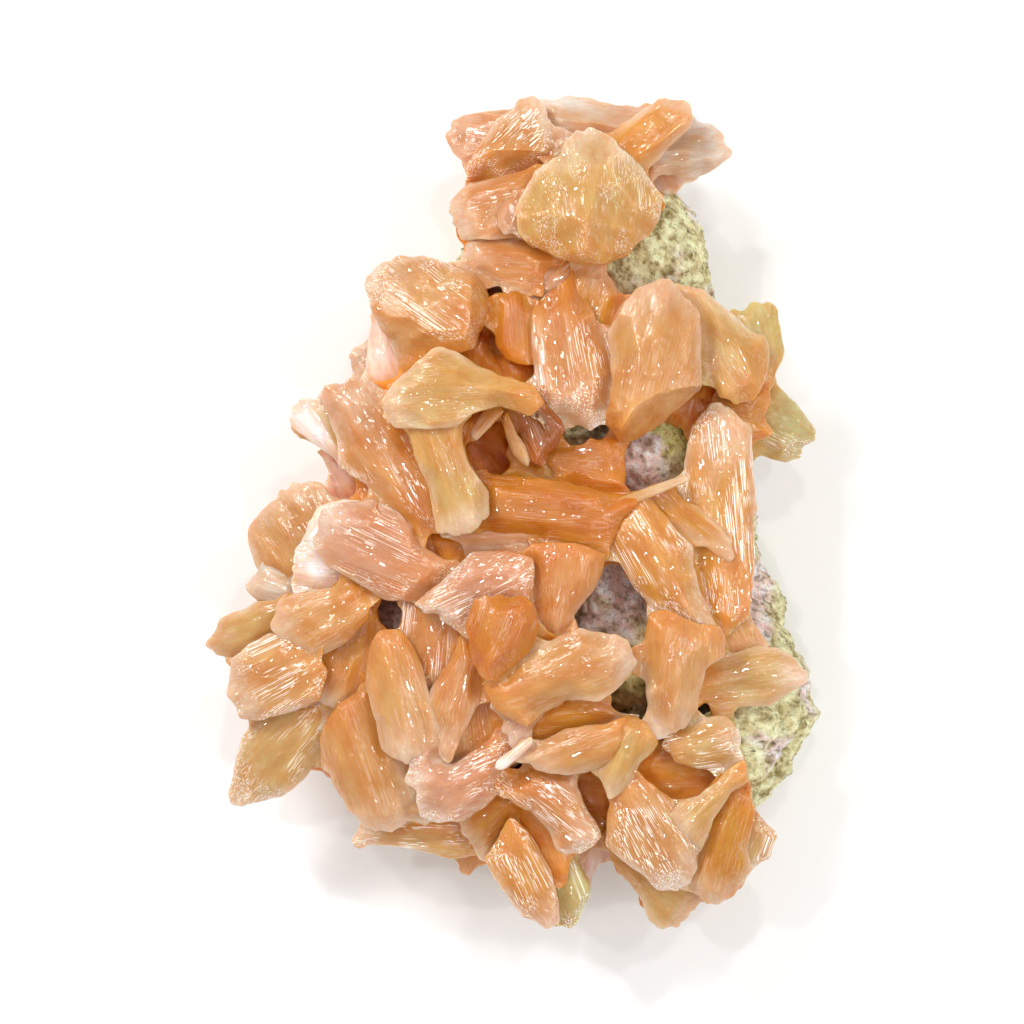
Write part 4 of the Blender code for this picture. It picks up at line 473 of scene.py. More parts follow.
FLANK = [
    ("peach.14", 21, (.2, 0), (-28, -12), 10, .6,
     [(-40, -12), (-38, -6), (-30, -4), (-22, -8), (-24, -16), (-34, -18)], []),
    ("salmon.9", 17, (.2, -.1), (-29, -28), 9, .6,
     [(-41, -26), (-36, -20), (-28, -20), (-24, -28), (-30, -35), (-38, -33)], []),
    ("peach.15", 22, (.2, .1), (-24, -40), 10, .6,
     [(-33, -42), (-29, -34), (-20, -34), (-16, -42), (-22, -49), (-29, -48)], []),
    ("tan.12", 18, (0, .2), (-6, -50), 9, .6,
     [(-15, -52), (-12, -44), (0, -44), (4, -52), (-2, -58), (-10, -57)], []),
    ("pale.21", 20, (0, .2), (8, -54), 10, .6,
     [(0, -58), (2, -48), (14, -48), (16, -58), (10, -66), (4, -65)], []),
    ("peach.16", 19, (0, .2), (26, -56), 10, .6,
     [(18, -58), (20, -50), (32, -50), (36, -58), (30, -65), (22, -65)], []),
    ("salmon.11", 20, (.2, 0), (-22, 8), 10, .6,
     [(-28, 4), (-28, 14), (-20, 18), (-12, 10), (-16, 0), (-24, -2)], []),
    ("peach.17", 22, (.2, -.1), (-14, 31), 10, .6,
     [(-23, 32), (-20, 38), (-10, 40), (-4, 32), (-10, 24), (-19, 25)], []),
    ("pink.6", 19, (.1, -.2), (2, 54), 9, .6,
     [(-7, 58), (-2, 64), (6, 65), (12, 56), (6, 48), (-4, 50)], []),
    ("salmon.12", 22, (.1, 0), (-3, 44), 9, .6,
     [(-8, 46), (-4, 52), (6, 50), (6, 40), (-4, 38)], []),
    ("pale.22", 24, (0, -.1), (22, 55), 12, .6,
     [(12, 62), (20, 66), (28, 63), (30, 56), (24, 50), (14, 52)], []),
]

# Each tint's colour, from a crystal's middle, in linear light. Deep and ember are a painted glow.
TINTS = {
    "cream": (0.48, 0.27, 0.07),
    "peach": (0.49, 0.23, 0.062),
    "salmon": (0.49, 0.20, 0.052),
    "rose": (0.50, 0.23, 0.11),
    "pink": (0.50, 0.23, 0.10),
    "orange": (0.53, 0.225, 0.035),
    "amber": (0.47, 0.19, 0.014),
    "rust": (0.44, 0.14, 0.012),
    "umber": (0.30, 0.075, 0.002),
    "tan": (0.47, 0.275, 0.082),
    "grey": (0.53, 0.41, 0.28),
    "green": (0.45, 0.37, 0.13),
    # Painted glow: deep and ember are saturated orange and red, painted on the crystals low in the gaps
    "deep": (0.68, 0.25, 0.04),
    "ember": (0.93, 0.08, 0.001),
    "pale": (0.84, 0.69, 0.55),
}
# Painted glow: a deeper orange painted towards each crystal's root
PAINTED_ROOT_GLOW_TINT = (0.58, 0.18, 0.012)
# Painted light: a paler, greyer tint painted on the thin tip and rim, where light shows through
PAINTED_TIP_LIGHT_TINT = (0.64, 0.46, 0.30)
# Painted glow: a saturated orange painted deep in the crevices between crystals
PAINTED_CREVICE_GLOW_TINT = (0.80, 0.27, 0.025)
FEATHER_TINT = (0.50, 0.17, 0.025, 1)
# How strongly the painted root glow, the painted tip and rim light and the painted crevice glow show
PAINTED_ROOT_GLOW_SHARE = 0.55
PAINTED_TIP_LIGHT_SHARE = 0.78
PAINTED_RIM_LIGHT_SHARE = 0.6
PAINTED_CREVICE_GLOW_SHARE = 0.85
PALE_PAINTED_CREVICE_GLOW_SHARE = 0.35
PALE_TINTS = ("pale", "grey", "green")
TIPLESS_TINTS = ("deep", "ember", "green", "rust", "umber")
# The painted crevice glow starts at the first depth below the blurred tops around it and is full at the
# second
CREVICE_DEPTHS = (1.0, 9)     # where a crevice starts to show, and where it shows in full
CREVICE_BLUR = 4.0
# The clouds inside darken and warm the tint, or lighten it
CLOUD_RAMP = [(0.3, (0.88, 0.74, 0.60, 1)), (0.72, (1.06, 1.28, 1.7, 1))]
# Painted highlight: near-white streaks painted along the striae, in patches
PAINTED_HIGHLIGHT_TINT = (0.98, 0.92, 0.83, 1)
# The crystals with painted highlight streaks along their striae and how strong these are, which is also
# their gloss. The others have the plain value below. A crystal's clear coat is COAT and more with its gloss.
PLAIN_GLOSS_AND_PAINTED_STREAKS = 0.15
COAT = 0.3
GLOSS_COAT = 0.6
GLOSS_AND_PAINTED_STREAKS = {
    "rose.4": 1.0, "tan.23": 0.9, "rose.3": 0.6, "rose.6": 0.8, "salmon.3": 0.8, "salmon.4": 0.5,
    "salmon.5": 0.7, "salmon.8": 0.8, "peach.1": 0.8, "peach.2": 0.7, "peach.7": 0.8, "peach.12": 1.0,
    "orange.3": 1.0, "orange.4": 0.9, "orange.7": 0.9, "tan.9": 1.0, "tan.10": 1.0, "tan.5": 0.6,
    "green.2": 0.7, "green.3": 0.9, "pale.8": 1.0, "pale.7": 1.0, "pale.9": 1.0, "cream.1": 0.5,
    "pink.4": 0.6,
}
# The studio, in metres and watts: each lamp's name, place, size and power, then where the small lamps
# that make the glints hang
FLOOR_WIDTH = 6.0
FLOOR_GAP = 0.0004
SKY = 0.62
LAMPS = [("key", (-0.55, 0.65, 1.0), 0.4, 9), ("fill", (0.8, -0.2, 0.9), 0.6, 3)]
LAMP_AIM = (0, 0, 0.02)
GLINTS = [(0.1, 0.45), (-0.42, 0.12), (0.4, 0.3), (0.05, -0.35), (-0.75, 0.6), (0.6, -0.15)]
GLINT_HEIGHT = 1.1
GLINT_SIZE = 0.045
GLINT_POWER = 1.3
GLINT_AIM = (0, 0, 0.03)
# Colours of the crust, and patches of them: x, y, reach, colour
CRUST_TINTS = {
    "mauve": (0.95, 0.72, 0.68),
    "olive": (0.60, 0.47, 0.15),
    "brown": (0.20, 0.10, 0.03),
    "green": (0.78, 0.69, 0.37),
    "lime": (0.74, 0.72, 0.24),
    # Painted shade: the dark colour painted in the gaps between the tufts
    "gap": (0.22, 0.15, 0.03),
}
CRUST_PATCHES = [
    (10.4, -14.6, 5.5, "brown"), (19.5, -12.5, 7.5, "mauve"), (20.5, 9.0, 7.0, "mauve"),
    (28.5, 14.0, 6.0, "lime"), (18.5, -29.5, 6.5, "olive"), (34.0, -33.0, 6.5, "green"),
]
# How the lattice of the noise is turned away from the axes
LATTICE_TURN = np.array([[0.755, 0.524, -0.394], [-0.568, 0.823, 0.006], [0.327, 0.219, 0.919]])


def lattice(i, j, k, seed):
    """A fixed random number from -1 to 1 for each whole-numbered place."""
    mixed = (i * 374761393 + j * 668265263 + k * 1442695041 + seed * 1274126177) & 0xFFFFFFFF
    mixed = ((mixed ^ (mixed >> 13)) * 1274126177) & 0xFFFFFFFF
    return ((mixed ^ (mixed >> 16)) & 0xFFFF) / 32767.5 - 1.0


def smooth_noise(places, seed):
    """Gradient noise from about -1 to 1 at rows of x, y, z, on a lattice turned away from the axes."""
    turned = places @ LATTICE_TURN
    cell = np.floor(turned).astype(np.int64)
    share = turned - cell
    fade = share * share * share * (share * (share * 6 - 15) + 10)
    total = np.zeros(len(places))
    for corner in range(8):
        steps = np.array([corner & 1, corner >> 1 & 1, corner >> 2 & 1])
        weight = np.prod(np.where(steps == 1, fade, 1 - fade), axis=1)
        corner_cell = (cell + steps).T
        away = (share - steps).T
        slope = sum(lattice(*corner_cell, seed + 101 * k) * away[k] for k in range(3))
        total += weight * slope
    return total * 1.6


def smooth_step(low, high, value):
    share = np.clip((value - low) / (high - low), 0, 1)
    return share * share * (3 - 2 * share)


def rounded_outline(outline):
    """Cuts the corners of an outline of x, y, rise, and runs it anticlockwise."""
    points = np.array([(*p, 0.0)[:3] for p in outline], float)
    x, y = points[:, 0], points[:, 1]
    if np.sum(x * np.roll(y, -1) - np.roll(x, -1) * y) < 0:
        points = points[::-1]
    for cut in CORNER_CUTS:
        after = np.roll(points, -1, axis=0)
        points = np.stack([points + (after - points) * cut, after + (points - after) * cut], axis=1)
        points = points.reshape(-1, 3)
    return points


def spaced(points, step, closed):
    """Points at an even spacing along a line."""
    if closed:
        points = np.concatenate([points, points[:1]])
    along = np.concatenate([[0], np.cumsum(np.linalg.norm(np.diff(points[:, :2], axis=0), axis=1))])
    count = max(int(along[-1] / step), 3 if closed else 1)
    places = np.linspace(0, along[-1], count + (not closed), endpoint=not closed)
    return np.stack([np.interp(places, along, points[:, k]) for k in range(points.shape[1])], axis=1)


def outward(points):
    """The outward direction at each point of an anticlockwise outline, in the plane."""
    along = np.roll(points[:, :2], -1, axis=0) - np.roll(points[:, :2], 1, axis=0)
    side = np.stack([along[:, 1], -along[:, 0]], axis=1)
    return side / np.maximum(np.linalg.norm(side, axis=1, keepdims=True), 1e-9)


def distance_to_outline(places, outline):
    """How far each place is from the closed outline."""
    start = outline[:, :2]
    run = np.roll(start, -1, axis=0) - start
    away = places[:, None, :] - start[None]
    share = np.clip(np.sum(away * run, axis=2) / np.maximum(np.sum(run * run, axis=1), 1e-12), 0, 1)
    return np.linalg.norm(away - share[:, :, None] * run, axis=2).min(axis=1)


def inside(places, outline):
    """Whether each place lies inside the closed outline."""
    x, y = places[:, :1], places[:, 1:2]
    ax, ay = outline[:, 0], outline[:, 1]
    bx, by = np.roll(ax, -1), np.roll(ay, -1)
    crosses = (ay > y) != (by > y)
    meets = ax + (y - ay) * (bx - ax) / np.where(by == ay, 1e-12, by - ay)
    return np.sum(crosses & (x < meets), axis=1) % 2 == 1


def triangulate(points, edges, loop_length):
    """Triangles that fill the loop of the first points: places, corners, and where each point went."""
    vectors = [Vector(p) for p in points]
    result = geometry.delaunay_2d_cdt(vectors, edges, [list(range(loop_length))], 1, 1e-6)
    went = {}
    for i, origins in enumerate(result[3]):
        for origin in origins:
            went[origin] = i
    places = np.array([tuple(v) for v in result[0]])
    return places, [tuple(face) for face in result[2]], went


class CrystalShape:
    """A crystal's own directions, and the height of its face above any place."""

    def __init__(self, crystal, number):
        self.crystal = crystal
        self.number = number
        self.outline = np.array([(*p, 0.0)[:3] for p in crystal.face], float)
        self.middle = self.outline[:, :2].mean(axis=0)
        self.slope = np.array(crystal.tilt) - self.middle / DOME_RADIUS
        self.corners, self.rises = self.facets()
        centred = self.outline[:, :2] - self.middle
        self.growth = self.growth_way(centred)
        self.across = np.array([-self.growth[1], self.growth[0]])
        lengths = centred @ self.growth
        self.reach = (lengths.min(), lengths.max())
        widths = centred @ self.across
        self.width = widths.max() - widths.min()
        self.bevels = self.bevelled_edges()

    def facets(self):
        """The triangles between the outline and the ridges, and the rises at their corners."""
        ridges = [np.array(ridge, float) for ridge in self.crystal.ridges]
        edges = []
        start = len(self.outline)
        for ridge in ridges:
            edges += [(i, i + 1) for i in range(start, start + len(ridge) - 1)]
            start += len(ridge)
        known = np.concatenate([self.outline, *ridges])
        places, triangles, went = triangulate(known[:, :2], edges, len(self.outline))
        rises = np.zeros(len(places))
        for origin, place in went.items():
            rises[place] = known[origin, 2]
        corners = np.array([[places[i] for i in t] for t in triangles])
        return corners, np.array([[rises[i] for i in t] for t in triangles])

    def growth_way(self, centred):
        """The way it grew: along its face, or straight away from its root where the face is nearly round."""
        spreads, ways = np.linalg.eigh(centred.T @ centred)
        growth = ways[:, 1]
        from_root = self.middle - np.array(self.crystal.root, float)
        if spreads[1] < NEARLY_ROUND * spreads[0] and np.linalg.norm(from_root) > 2:
            growth = from_root / np.linalg.norm(from_root)
        return -growth if growth @ from_root < 0 else growth

    def bevelled_edges(self):
        """The edges that have a slanting facet: start, end, breadth and fall."""
        bevels = []
        for i, start in enumerate(self.outline[:, :2]):
            end = self.outline[(i + 1) % len(self.outline), :2]
            chance, breadth, fall = (lattice(self.number, i, k, 5) * 0.5 + 0.5 for k in range(3))
            if chance < BEVEL_CHANCE and np.linalg.norm(end - start) > BEVEL_EDGE:
                breadth = (BEVEL_BREADTH[0] + BEVEL_BREADTH[1] * breadth) * self.width
                bevels.append((start, end, breadth, BEVEL_FALL[0] + BEVEL_FALL[1] * fall))
        return bevels

    def face_height(self, places):
        """The height of the flat facets over rows of x, y."""
        a, b, c = self.corners[:, 0], self.corners[:, 1], self.corners[:, 2]
        ab, ac = b - a, c - a
        area = ab[:, 0] * ac[:, 1] - ab[:, 1] * ac[:, 0]
        area = np.where(np.abs(area) < 1e-9, 1e-9, area)
        away = places[:, None, :] - a[None]
        second = (away[:, :, 0] * ac[:, 1] - away[:, :, 1] * ac[:, 0]) / area
        third = (ab[:, 0] * away[:, :, 1] - ab[:, 1] * away[:, :, 0]) / area
        shares = np.stack([1 - second - third, second, third], axis=2)
        best = shares.min(axis=2).argmax(axis=1)
        rows = np.arange(len(places))
        chosen = np.clip(shares[rows, best], 0, 1)
        chosen /= chosen.sum(axis=1, keepdims=True)
        rise = np.sum(chosen * self.rises[best], axis=1)
        return self.crystal.height + (places - self.middle) @ self.slope + rise

    def bevel_drop(self, places):
        """How far the slanting facets along some of its edges lie below the face."""
        drop = np.zeros(len(places))
        for start, end, breadth, fall in self.bevels:
            run = end - start
            share = np.clip((places - start) @ run / (run @ run), 0, 1)
            away = np.linalg.norm(places - start - share[:, None] * run, axis=1)
            drop = np.maximum(drop, fall * (breadth - away))
        return drop

    def grain(self, places):
        """Places along, across and below the growth of the crystal, in millimetres."""
        flat = places[:, :2] - self.middle
        along = flat @ self.growth
        across = flat @ self.across
        fan = 1 - FAN * along / max(self.reach[1] - self.reach[0], 1)
        depth = places[:, 2] - (self.crystal.height + flat @ self.slope)
        return np.stack([along, across * fan, depth], axis=1)


def is_simple(outline):
    """Whether a closed outline never crosses itself."""
    start = outline[:, :2]
    run = np.roll(start, -1, axis=0) - start
    away = start[None] - start[:, None]
    turn = run[:, None, 0] * run[None, :, 1] - run[:, None, 1] * run[None, :, 0]
    turn = np.where(np.abs(turn) < 1e-12, 1e-12, turn)
    first = (away[:, :, 0] * run[None, :, 1] - away[:, :, 1] * run[None, :, 0]) / turn
    second = (away[:, :, 0] * run[:, None, 1] - away[:, :, 1] * run[:, None, 0]) / turn
    meet = (first >= 0) & (first <= 1) & (second >= 0) & (second <= 1)
    count = len(outline)
    gap = np.abs(np.arange(count)[:, None] - np.arange(count)[None])
    return not (meet & (gap > 1) & (gap < count - 1)).any()


def fine_outline(shape, others):
    """The crystal's fine outline: with its ragged tip and tucked under its neighbours, where it can be."""
    plain = spaced(rounded_outline(shape.crystal.face), STEP, True)
    tucked = tucked_outline(shape, plain, others)
    choices = [splintered(shape, tucked), tucked, splintered(shape, plain)]
    for choice in choices:
        choice = wobbled(shape, spaced(choice, STEP, True))
        if is_simple(choice):
            return choice
    return plain


def wobbled(shape, outline):
    spots = np.concatenate([outline[:, :2] / 2.4, np.full((len(outline), 1), shape.number * 3.7)], axis=1)
    moved = outline.copy()
    size = EDGE_WOBBLE * min(1.0, shape.width / BROAD)
    moved[:, :2] += outward(outline) * (smooth_noise(spots, 1) * size)[:, None]
    return moved


def tucked_outline(shape, outline, others):
    """The outline, run on under the higher crystals that it meets."""
    if shape.width < TUCK_WIDTH:
        return outline
    side = outward(outline)
    own = shape.face_height(outline[:, :2])
    reach = np.zeros(len(outline))
    for probe in TUCK_PROBES:
        places = outline[:, :2] + side * probe
        for other in others:
            near = inside(places, other.outline) & (other.crystal.height > shape.crystal.height)
            if near.any():
                near[near] = other.face_height(places[near]) > own[near] + 0.3
                reach[near] = np.maximum(reach[near], probe + 0.5)
    for _ in range(3):
        reach = (np.roll(reach, 1) + 2 * reach + np.roll(reach, -1)) / 4
    moved = outline.copy()
    moved[:, :2] += side * reach[:, None]
    return moved


def splintered(shape, outline):
    """The outline with a ragged tip, where some of the crystal's plates end before the others."""
    flat = outline[:, :2] - shape.middle
    along = (flat @ shape.growth - shape.reach[0]) / (shape.reach[1] - shape.reach[0])
    across = flat @ shape.across
    spots = np.stack([across / 1.5, np.full(len(flat), shape.number * 2.3), np.zeros(len(flat))], axis=1)
    teeth = smooth_noise(spots, 21)
    teeth = smooth_step(-0.05, 0.05, teeth) + smooth_step(0.3, 0.4, teeth) - smooth_step(-0.3, -0.4, teeth)
    size = SPLINTER * min(1.0, shape.width / BROAD)
    moved = outline.copy()
    moved[:, :2] += shape.growth * ((teeth - 0.5) * size * smooth_step(0.6, 0.95, along))[:, None]
    return moved


def spread_points(shape, outline):
    """An even spread of points around the face, a little shaken."""
    low, high = outline[:, :2].min(axis=0), outline[:, :2].max(axis=0)
    columns, rows = np.meshgrid(np.arange(low[0], high[0], STEP), np.arange(low[1], high[1], STEP * 0.87))
    columns = columns + (np.arange(len(columns)) % 2 * STEP / 2)[:, None]
    spread = np.stack([columns.ravel(), rows.ravel()], axis=1)
    shift = np.concatenate([spread * 5.3, np.full((len(spread), 1), shape.number)], axis=1)
    return spread + np.stack([smooth_noise(shift, 2), smooth_noise(shift, 3)], axis=1) * STEP * 0.16


def ridge_lines(shape, outline, worn):
    """The points along each ridge, as far as the worn edge."""
    lines = []
    for ridge in shape.crystal.ridges:
        line = spaced(np.array(ridge, float), STEP, False)[:, :2]
        line = line[inside(line, outline)]
        if len(line) > 1:
            line = line[distance_to_outline(line, outline) > worn]
        if len(line) > 1:
            lines.append(line)
    return lines


def face_mesh(shape, outline, worn):
    """The face: its places, their heights, its triangles, and the places of its rim."""
    side = outward(outline)
    count = len(outline)
    rings = []
    for share in (0.3, 0.8):
        ring = outline[:, :2] - side * worn * share
        rings.append(ring[(distance_to_outline(ring, outline) > worn * share * 0.8) & inside(ring, outline)])
    spread = spread_points(shape, outline)
    spread = spread[inside(spread, outline)]
    spread = spread[distance_to_outline(spread, outline) > worn + STEP * 0.3]
    edges = []
    start = count
    lines = ridge_lines(shape, outline, worn)
    for line in lines:
        edges += [(i, i + 1) for i in range(start, start + len(line) - 1)]
        start += len(line)
        gap = np.linalg.norm(spread[:, None] - line[None], axis=2).min(axis=1)
        spread = spread[gap > STEP * 0.5]
    flat = np.concatenate([outline[:, :2], *lines, *rings, spread])
    places, triangles, went = triangulate(flat, edges, count)
    edge = distance_to_outline(places, outline)
    height = shape.face_height(places) - shape.bevel_drop(places)
    drop = np.clip(1 - edge / worn, 0, 1)
    height -= worn * (1 - np.sqrt(1 - drop * drop * 0.98))
    height += face_relief(shape, places, smooth_step(0, 1.2, edge))
    return places, height, triangles, [went[i] for i in range(count)]


def side_mesh(shape, rim, rim_places, rim_height, side, worn, used):
    """The sides, ring under ring, down to the root: rows of places, and faces."""
    crystal = shape.crystal
    count = len(rim)
    belly_drop = BELLY * crystal.depth
    root = np.array(crystal.root, float)
    root_height = crystal.height + (root - shape.middle) @ shape.slope - crystal.depth
    floor = min(root_height, rim_height.min() - belly_drop - ROOT_CLEAR)
    belly = rim_places - side * min(BELLY_IN, worn)
    base = root + (belly - root) * crystal.waist
    drop_steps = max(int(belly_drop / (STEP * 1.3)), 2)
    root_steps = max(int((rim_height.mean() - belly_drop - floor) / ROOT_STEP), 2)
    points = []
    faces = []
    previous = rim
    for i in range(1, drop_steps + root_steps + 1):
        if i <= drop_steps:
            share = i / drop_steps
            ring = rim_places + (belly - rim_places) * share
            level = rim_height - belly_drop * share
        else:
            share = (i - drop_steps) / root_steps
            ring = belly + (base - belly) * share
            level = (rim_height - belly_drop) * (1 - share) + floor * share
        ring = ring + side * side_relief(shape, ring, level)[:, None] * min(1, worn / 0.5)
        points.append(np.concatenate([ring, level[:, None]], axis=1))
        current = list(range(used, used + count))
        used += count
        for j in range(count):
            k = (j + 1) % count
            faces.append((previous[j], current[j], current[k], previous[k]))
        previous = current
    points.append([[*base.mean(axis=0), floor - 0.1]])
    faces += [(previous[(j + 1) % count], previous[j], used) for j in range(count)]
    return np.concatenate(points), faces


def crystal_geometry(shape, others):
    """A fine, closed mesh of one crystal: rows of places, and faces."""
    outline = fine_outline(shape, others)
    worn = min(WORN_EDGE, 0.14 * shape.width, shape.crystal.depth * BELLY * 0.4)
    places, height, face, rim = face_mesh(shape, outline, worn)
    sides, side_faces = side_mesh(shape, rim, places[rim], height[rim], outward(outline), worn, len(places))
    top = np.concatenate([places, height[:, None]], axis=1)
    return np.concatenate([top, sides]), face + side_faces


def face_relief(shape, places, share):
    """Ribs along the growth, the steps between the plates it is stacked from, and a slow waviness."""
    grain = shape.grain(np.concatenate([places, np.full((len(places), 1), shape.crystal.height)], axis=1))
    along, across = grain[:, 0], grain[:, 1]

    def noise(length, breadth, layer):
        spots = np.stack([along / length, across / breadth, np.full(len(places), float(layer))], axis=1)
        return smooth_noise(spots, 10 + shape.number)

    stack = noise(14, 3.2, 5)
    plates = smooth_step(-0.2, -0.16, stack) + smooth_step(0.12, 0.16, stack)
    ends = noise(3.6, 2.8, 25)
    ends = smooth_step(0.0, 0.06, ends) + smooth_step(0.3, 0.36, ends)
    tip = smooth_step(0.5, 1.0, (along - shape.reach[0]) / (shape.reach[1] - shape.reach[0]))
    broad = min(1.0, shape.width / BROAD)
    return share * broad * (PLATE_RELIEF * plates + WAVE_RELIEF * noise(8, 7, 9)
                            + RIB_RELIEF * noise(24, 1.6, 2) + TIP_RELIEF * tip * ends
                            + (CHIP_RELIEF + TIP_CHIP_RELIEF * tip) * noise(1.9, 1.6, 15))


def side_relief(shape, ring, level):
    """The edges of the plates that a crystal is stacked from."""
    seed = 400 + shape.number
    thin = np.stack([ring[:, 0] / 5, ring[:, 1] / 5, level / 1.3], axis=1)
    thick = np.stack([ring[:, 0] / 9, ring[:, 1] / 9, level / 3.4], axis=1)
    return THIN_PLATES * smooth_noise(thin, seed) + THICK_PLATES * smooth_noise(thick, seed + 1)


def mesh_from(name, points, faces):
    data = bpy.data.meshes.new(name)
    data.from_pydata((points * MM).tolist(), [], faces)
    data.validate()
    return data


def store(data, name, kind, domain, field, values):
    """Keeps values on the mesh under a name, for its material."""
    stored = data.attributes.new(name, kind, domain)
    stored.data.foreach_set(field, values.astype(np.float32).ravel())


def grown_cluster(name, shapes, neighbours):
    """The crystals joined into one skin, whose faces remember which crystal they are from."""
    holder = bpy.data.collections.new(name + "_parts")
    bpy.context.scene.collection.children.link(holder)
    objects = []
    for shape in shapes:
        points, faces = crystal_geometry(shape, neighbours)
        data = mesh_from(shape.crystal.name, points, faces)
        mark = data.attributes.new("crystal", "INT", "FACE")
        mark.data.foreach_set("value", np.full(len(data.polygons), shape.number, np.int32))
        thing = bpy.data.objects.new(shape.crystal.name, data)
        objects.append(thing)
    first, *others = objects
    bpy.context.scene.collection.objects.link(first)
    for other in others:
        holder.objects.link(other)
    union = first.modifiers.new("grown together", "BOOLEAN")
    union.operation = "UNION"
    union.operand_type = "COLLECTION"
    union.collection = holder
    union.solver = "MANIFOLD"
    graph = bpy.context.evaluated_depsgraph_get()
    data = bpy.data.meshes.new_from_object(first.evaluated_get(graph))
    for thing in objects:
        bpy.data.objects.remove(thing, do_unlink=True)
    bpy.data.collections.remove(holder)
    data.name = name
    cluster = bpy.data.objects.new(name, data)
    bpy.context.scene.collection.objects.link(cluster)
    return cluster


def vertex_places(data):
    places = np.empty(len(data.vertices) * 3, np.float32)
    data.vertices.foreach_get("co", places)
    return places.reshape(-1, 3).astype(float) / MM


def crevice_map(places):
    """A function that says how deep places lie in the crevices, from 0 to 1, and less so on the flanks."""
    low = places[:, :2].min(axis=0) - 2 * CREVICE_BLUR
    cells = (places[:, :2] - low).astype(int)
    size = cells.max(axis=0) + 9
    top = np.zeros(size)
    np.maximum.at(top, (cells[:, 0], cells[:, 1]), places[:, 2])
    weight = (top > 0).astype(float)
    kernel = np.exp(-np.arange(-9, 10) ** 2 / (2 * CREVICE_BLUR ** 2))
    for axis in (0, 1):
        top = np.apply_along_axis(np.convolve, axis, top, kernel, "same")
        weight = np.apply_along_axis(np.convolve, axis, weight, kernel, "same")
    level = top / np.maximum(weight, 1e-6)
    amid = smooth_step(0.6, 0.95, weight / kernel.sum() ** 2)

    def sunk(spots):
        cell = np.clip((spots[:, :2] - low).astype(int), 0, size - 1)
        depth = level[cell[:, 0], cell[:, 1]] - spots[:, 2]
        return smooth_step(*CREVICE_DEPTHS, depth) * (0.3 + 0.7 * amid[cell[:, 0], cell[:, 1]])

    return sunk


def corner_owners(data):
    """For each corner of a joined mesh, its vertex and the number of its crystal."""
    marks = np.empty(len(data.polygons), np.int32)
    data.attributes["crystal"].data.foreach_get("value", marks)
    sizes = np.empty(len(data.polygons), np.int32)
    data.polygons.foreach_get("loop_total", sizes)
    vertices = np.empty(len(data.loops), np.int32)
    data.loops.foreach_get("vertex_index", vertices)
    return vertices, np.repeat(marks, sizes)


def paint_crystals(cluster, shapes, crevices):
    """Stores each corner's place in its crystal's grain, its colour, its gloss and painted streaks, and its
    coat.
    """
    data = cluster.data
    vertices, owner = corner_owners(data)
    corner_places = vertex_places(data)[vertices]
    grain = np.zeros((len(vertices), 3))
    colour = np.ones((len(vertices), 4))
    gloss_and_painted_streaks = np.zeros(len(vertices))
    coat = np.zeros(len(vertices))
    for shape in shapes:
        mine = owner == shape.number
        if not mine.any():
            continue
        spots = corner_places[mine]
        own = shape.grain(spots)
        sunk = crevices(spots)
        colour[mine, :3] = crystal_colour(shape, spots, own, sunk)
        gloss_and_painted_streaks[mine] = GLOSS_AND_PAINTED_STREAKS.get(shape.crystal.name, PLAIN_GLOSS_AND_PAINTED_STREAKS)
        # The clear coat thins deep in the crevices, by the same share as their painted glow
        coat[mine] = (COAT + GLOSS_COAT * gloss_and_painted_streaks[mine]) * (1 - PAINTED_CREVICE_GLOW_SHARE * sunk)
        own[:, 0] += shape.number * 31.0
        grain[mine] = own
    store(data, "grain", "FLOAT_VECTOR", "CORNER", "vector", grain)
    store(data, "gloss_and_painted_streaks", "FLOAT", "CORNER", "value", gloss_and_painted_streaks)
    store(data, "coat", "FLOAT", "CORNER", "value", coat)
    store(data, "tint", "FLOAT_COLOR", "CORNER", "color", colour)


def blend(first, second, share):
    return first + (second - first) * share[:, None]


def crystal_colour(shape, spots, grain, sunk):
    """A crystal's tint, with painted glow at its root and deep between the others, and painted light at its
    thin rim and tip.
    """
    tint = shape.crystal.name.split(".")[0]
    colour = np.tile(np.array(TINTS[tint]), (len(spots), 1))
    along = (grain[:, 0] - shape.reach[0]) / max(shape.reach[1] - shape.reach[0], 1e-6)
    patches = smooth_noise(spots / 6.5, 900 + shape.number)
    streaks = smooth_noise(np.stack([grain[:, 0] / 9, grain[:, 1] / 1.6, grain[:, 2] / 3], axis=1), 950)
    # Painted glow: deeper orange towards the root
    colour = blend(colour, np.array(PAINTED_ROOT_GLOW_TINT), PAINTED_ROOT_GLOW_SHARE * smooth_step(0.55, -0.15, along + 0.15 * patches))
    # Painted light: paler where the thin tip and rim let light through
    if tint not in TIPLESS_TINTS:
        edge = distance_to_outline(spots[:, :2], shape.outline)
        rim = smooth_step(1.6, 0.1, edge) * smooth_step(0.2, 0.6, along)
        thin = np.maximum(smooth_step(0.62, 1.08, along + 0.12 * patches), PAINTED_RIM_LIGHT_SHARE * rim)
        colour = blend(colour, np.array(PAINTED_TIP_LIGHT_TINT), PAINTED_TIP_LIGHT_SHARE * thin)
    # Painted glow: saturated orange deep in the crevices, less on the pale crystals
    crevice_glow_share = PALE_PAINTED_CREVICE_GLOW_SHARE if tint in PALE_TINTS else PAINTED_CREVICE_GLOW_SHARE
    colour = blend(colour, np.array(PAINTED_CREVICE_GLOW_TINT), crevice_glow_share * sunk)
    colour *= (1 + 0.05 * patches + 0.03 * streaks)[:, None]
    return np.clip(colour, 0.005, 0.95)


def new_material(name):
    made = bpy.data.materials.new(name)
    made.use_nodes = True
    tree = made.node_tree
    return made, tree, tree.nodes["Principled BSDF"]


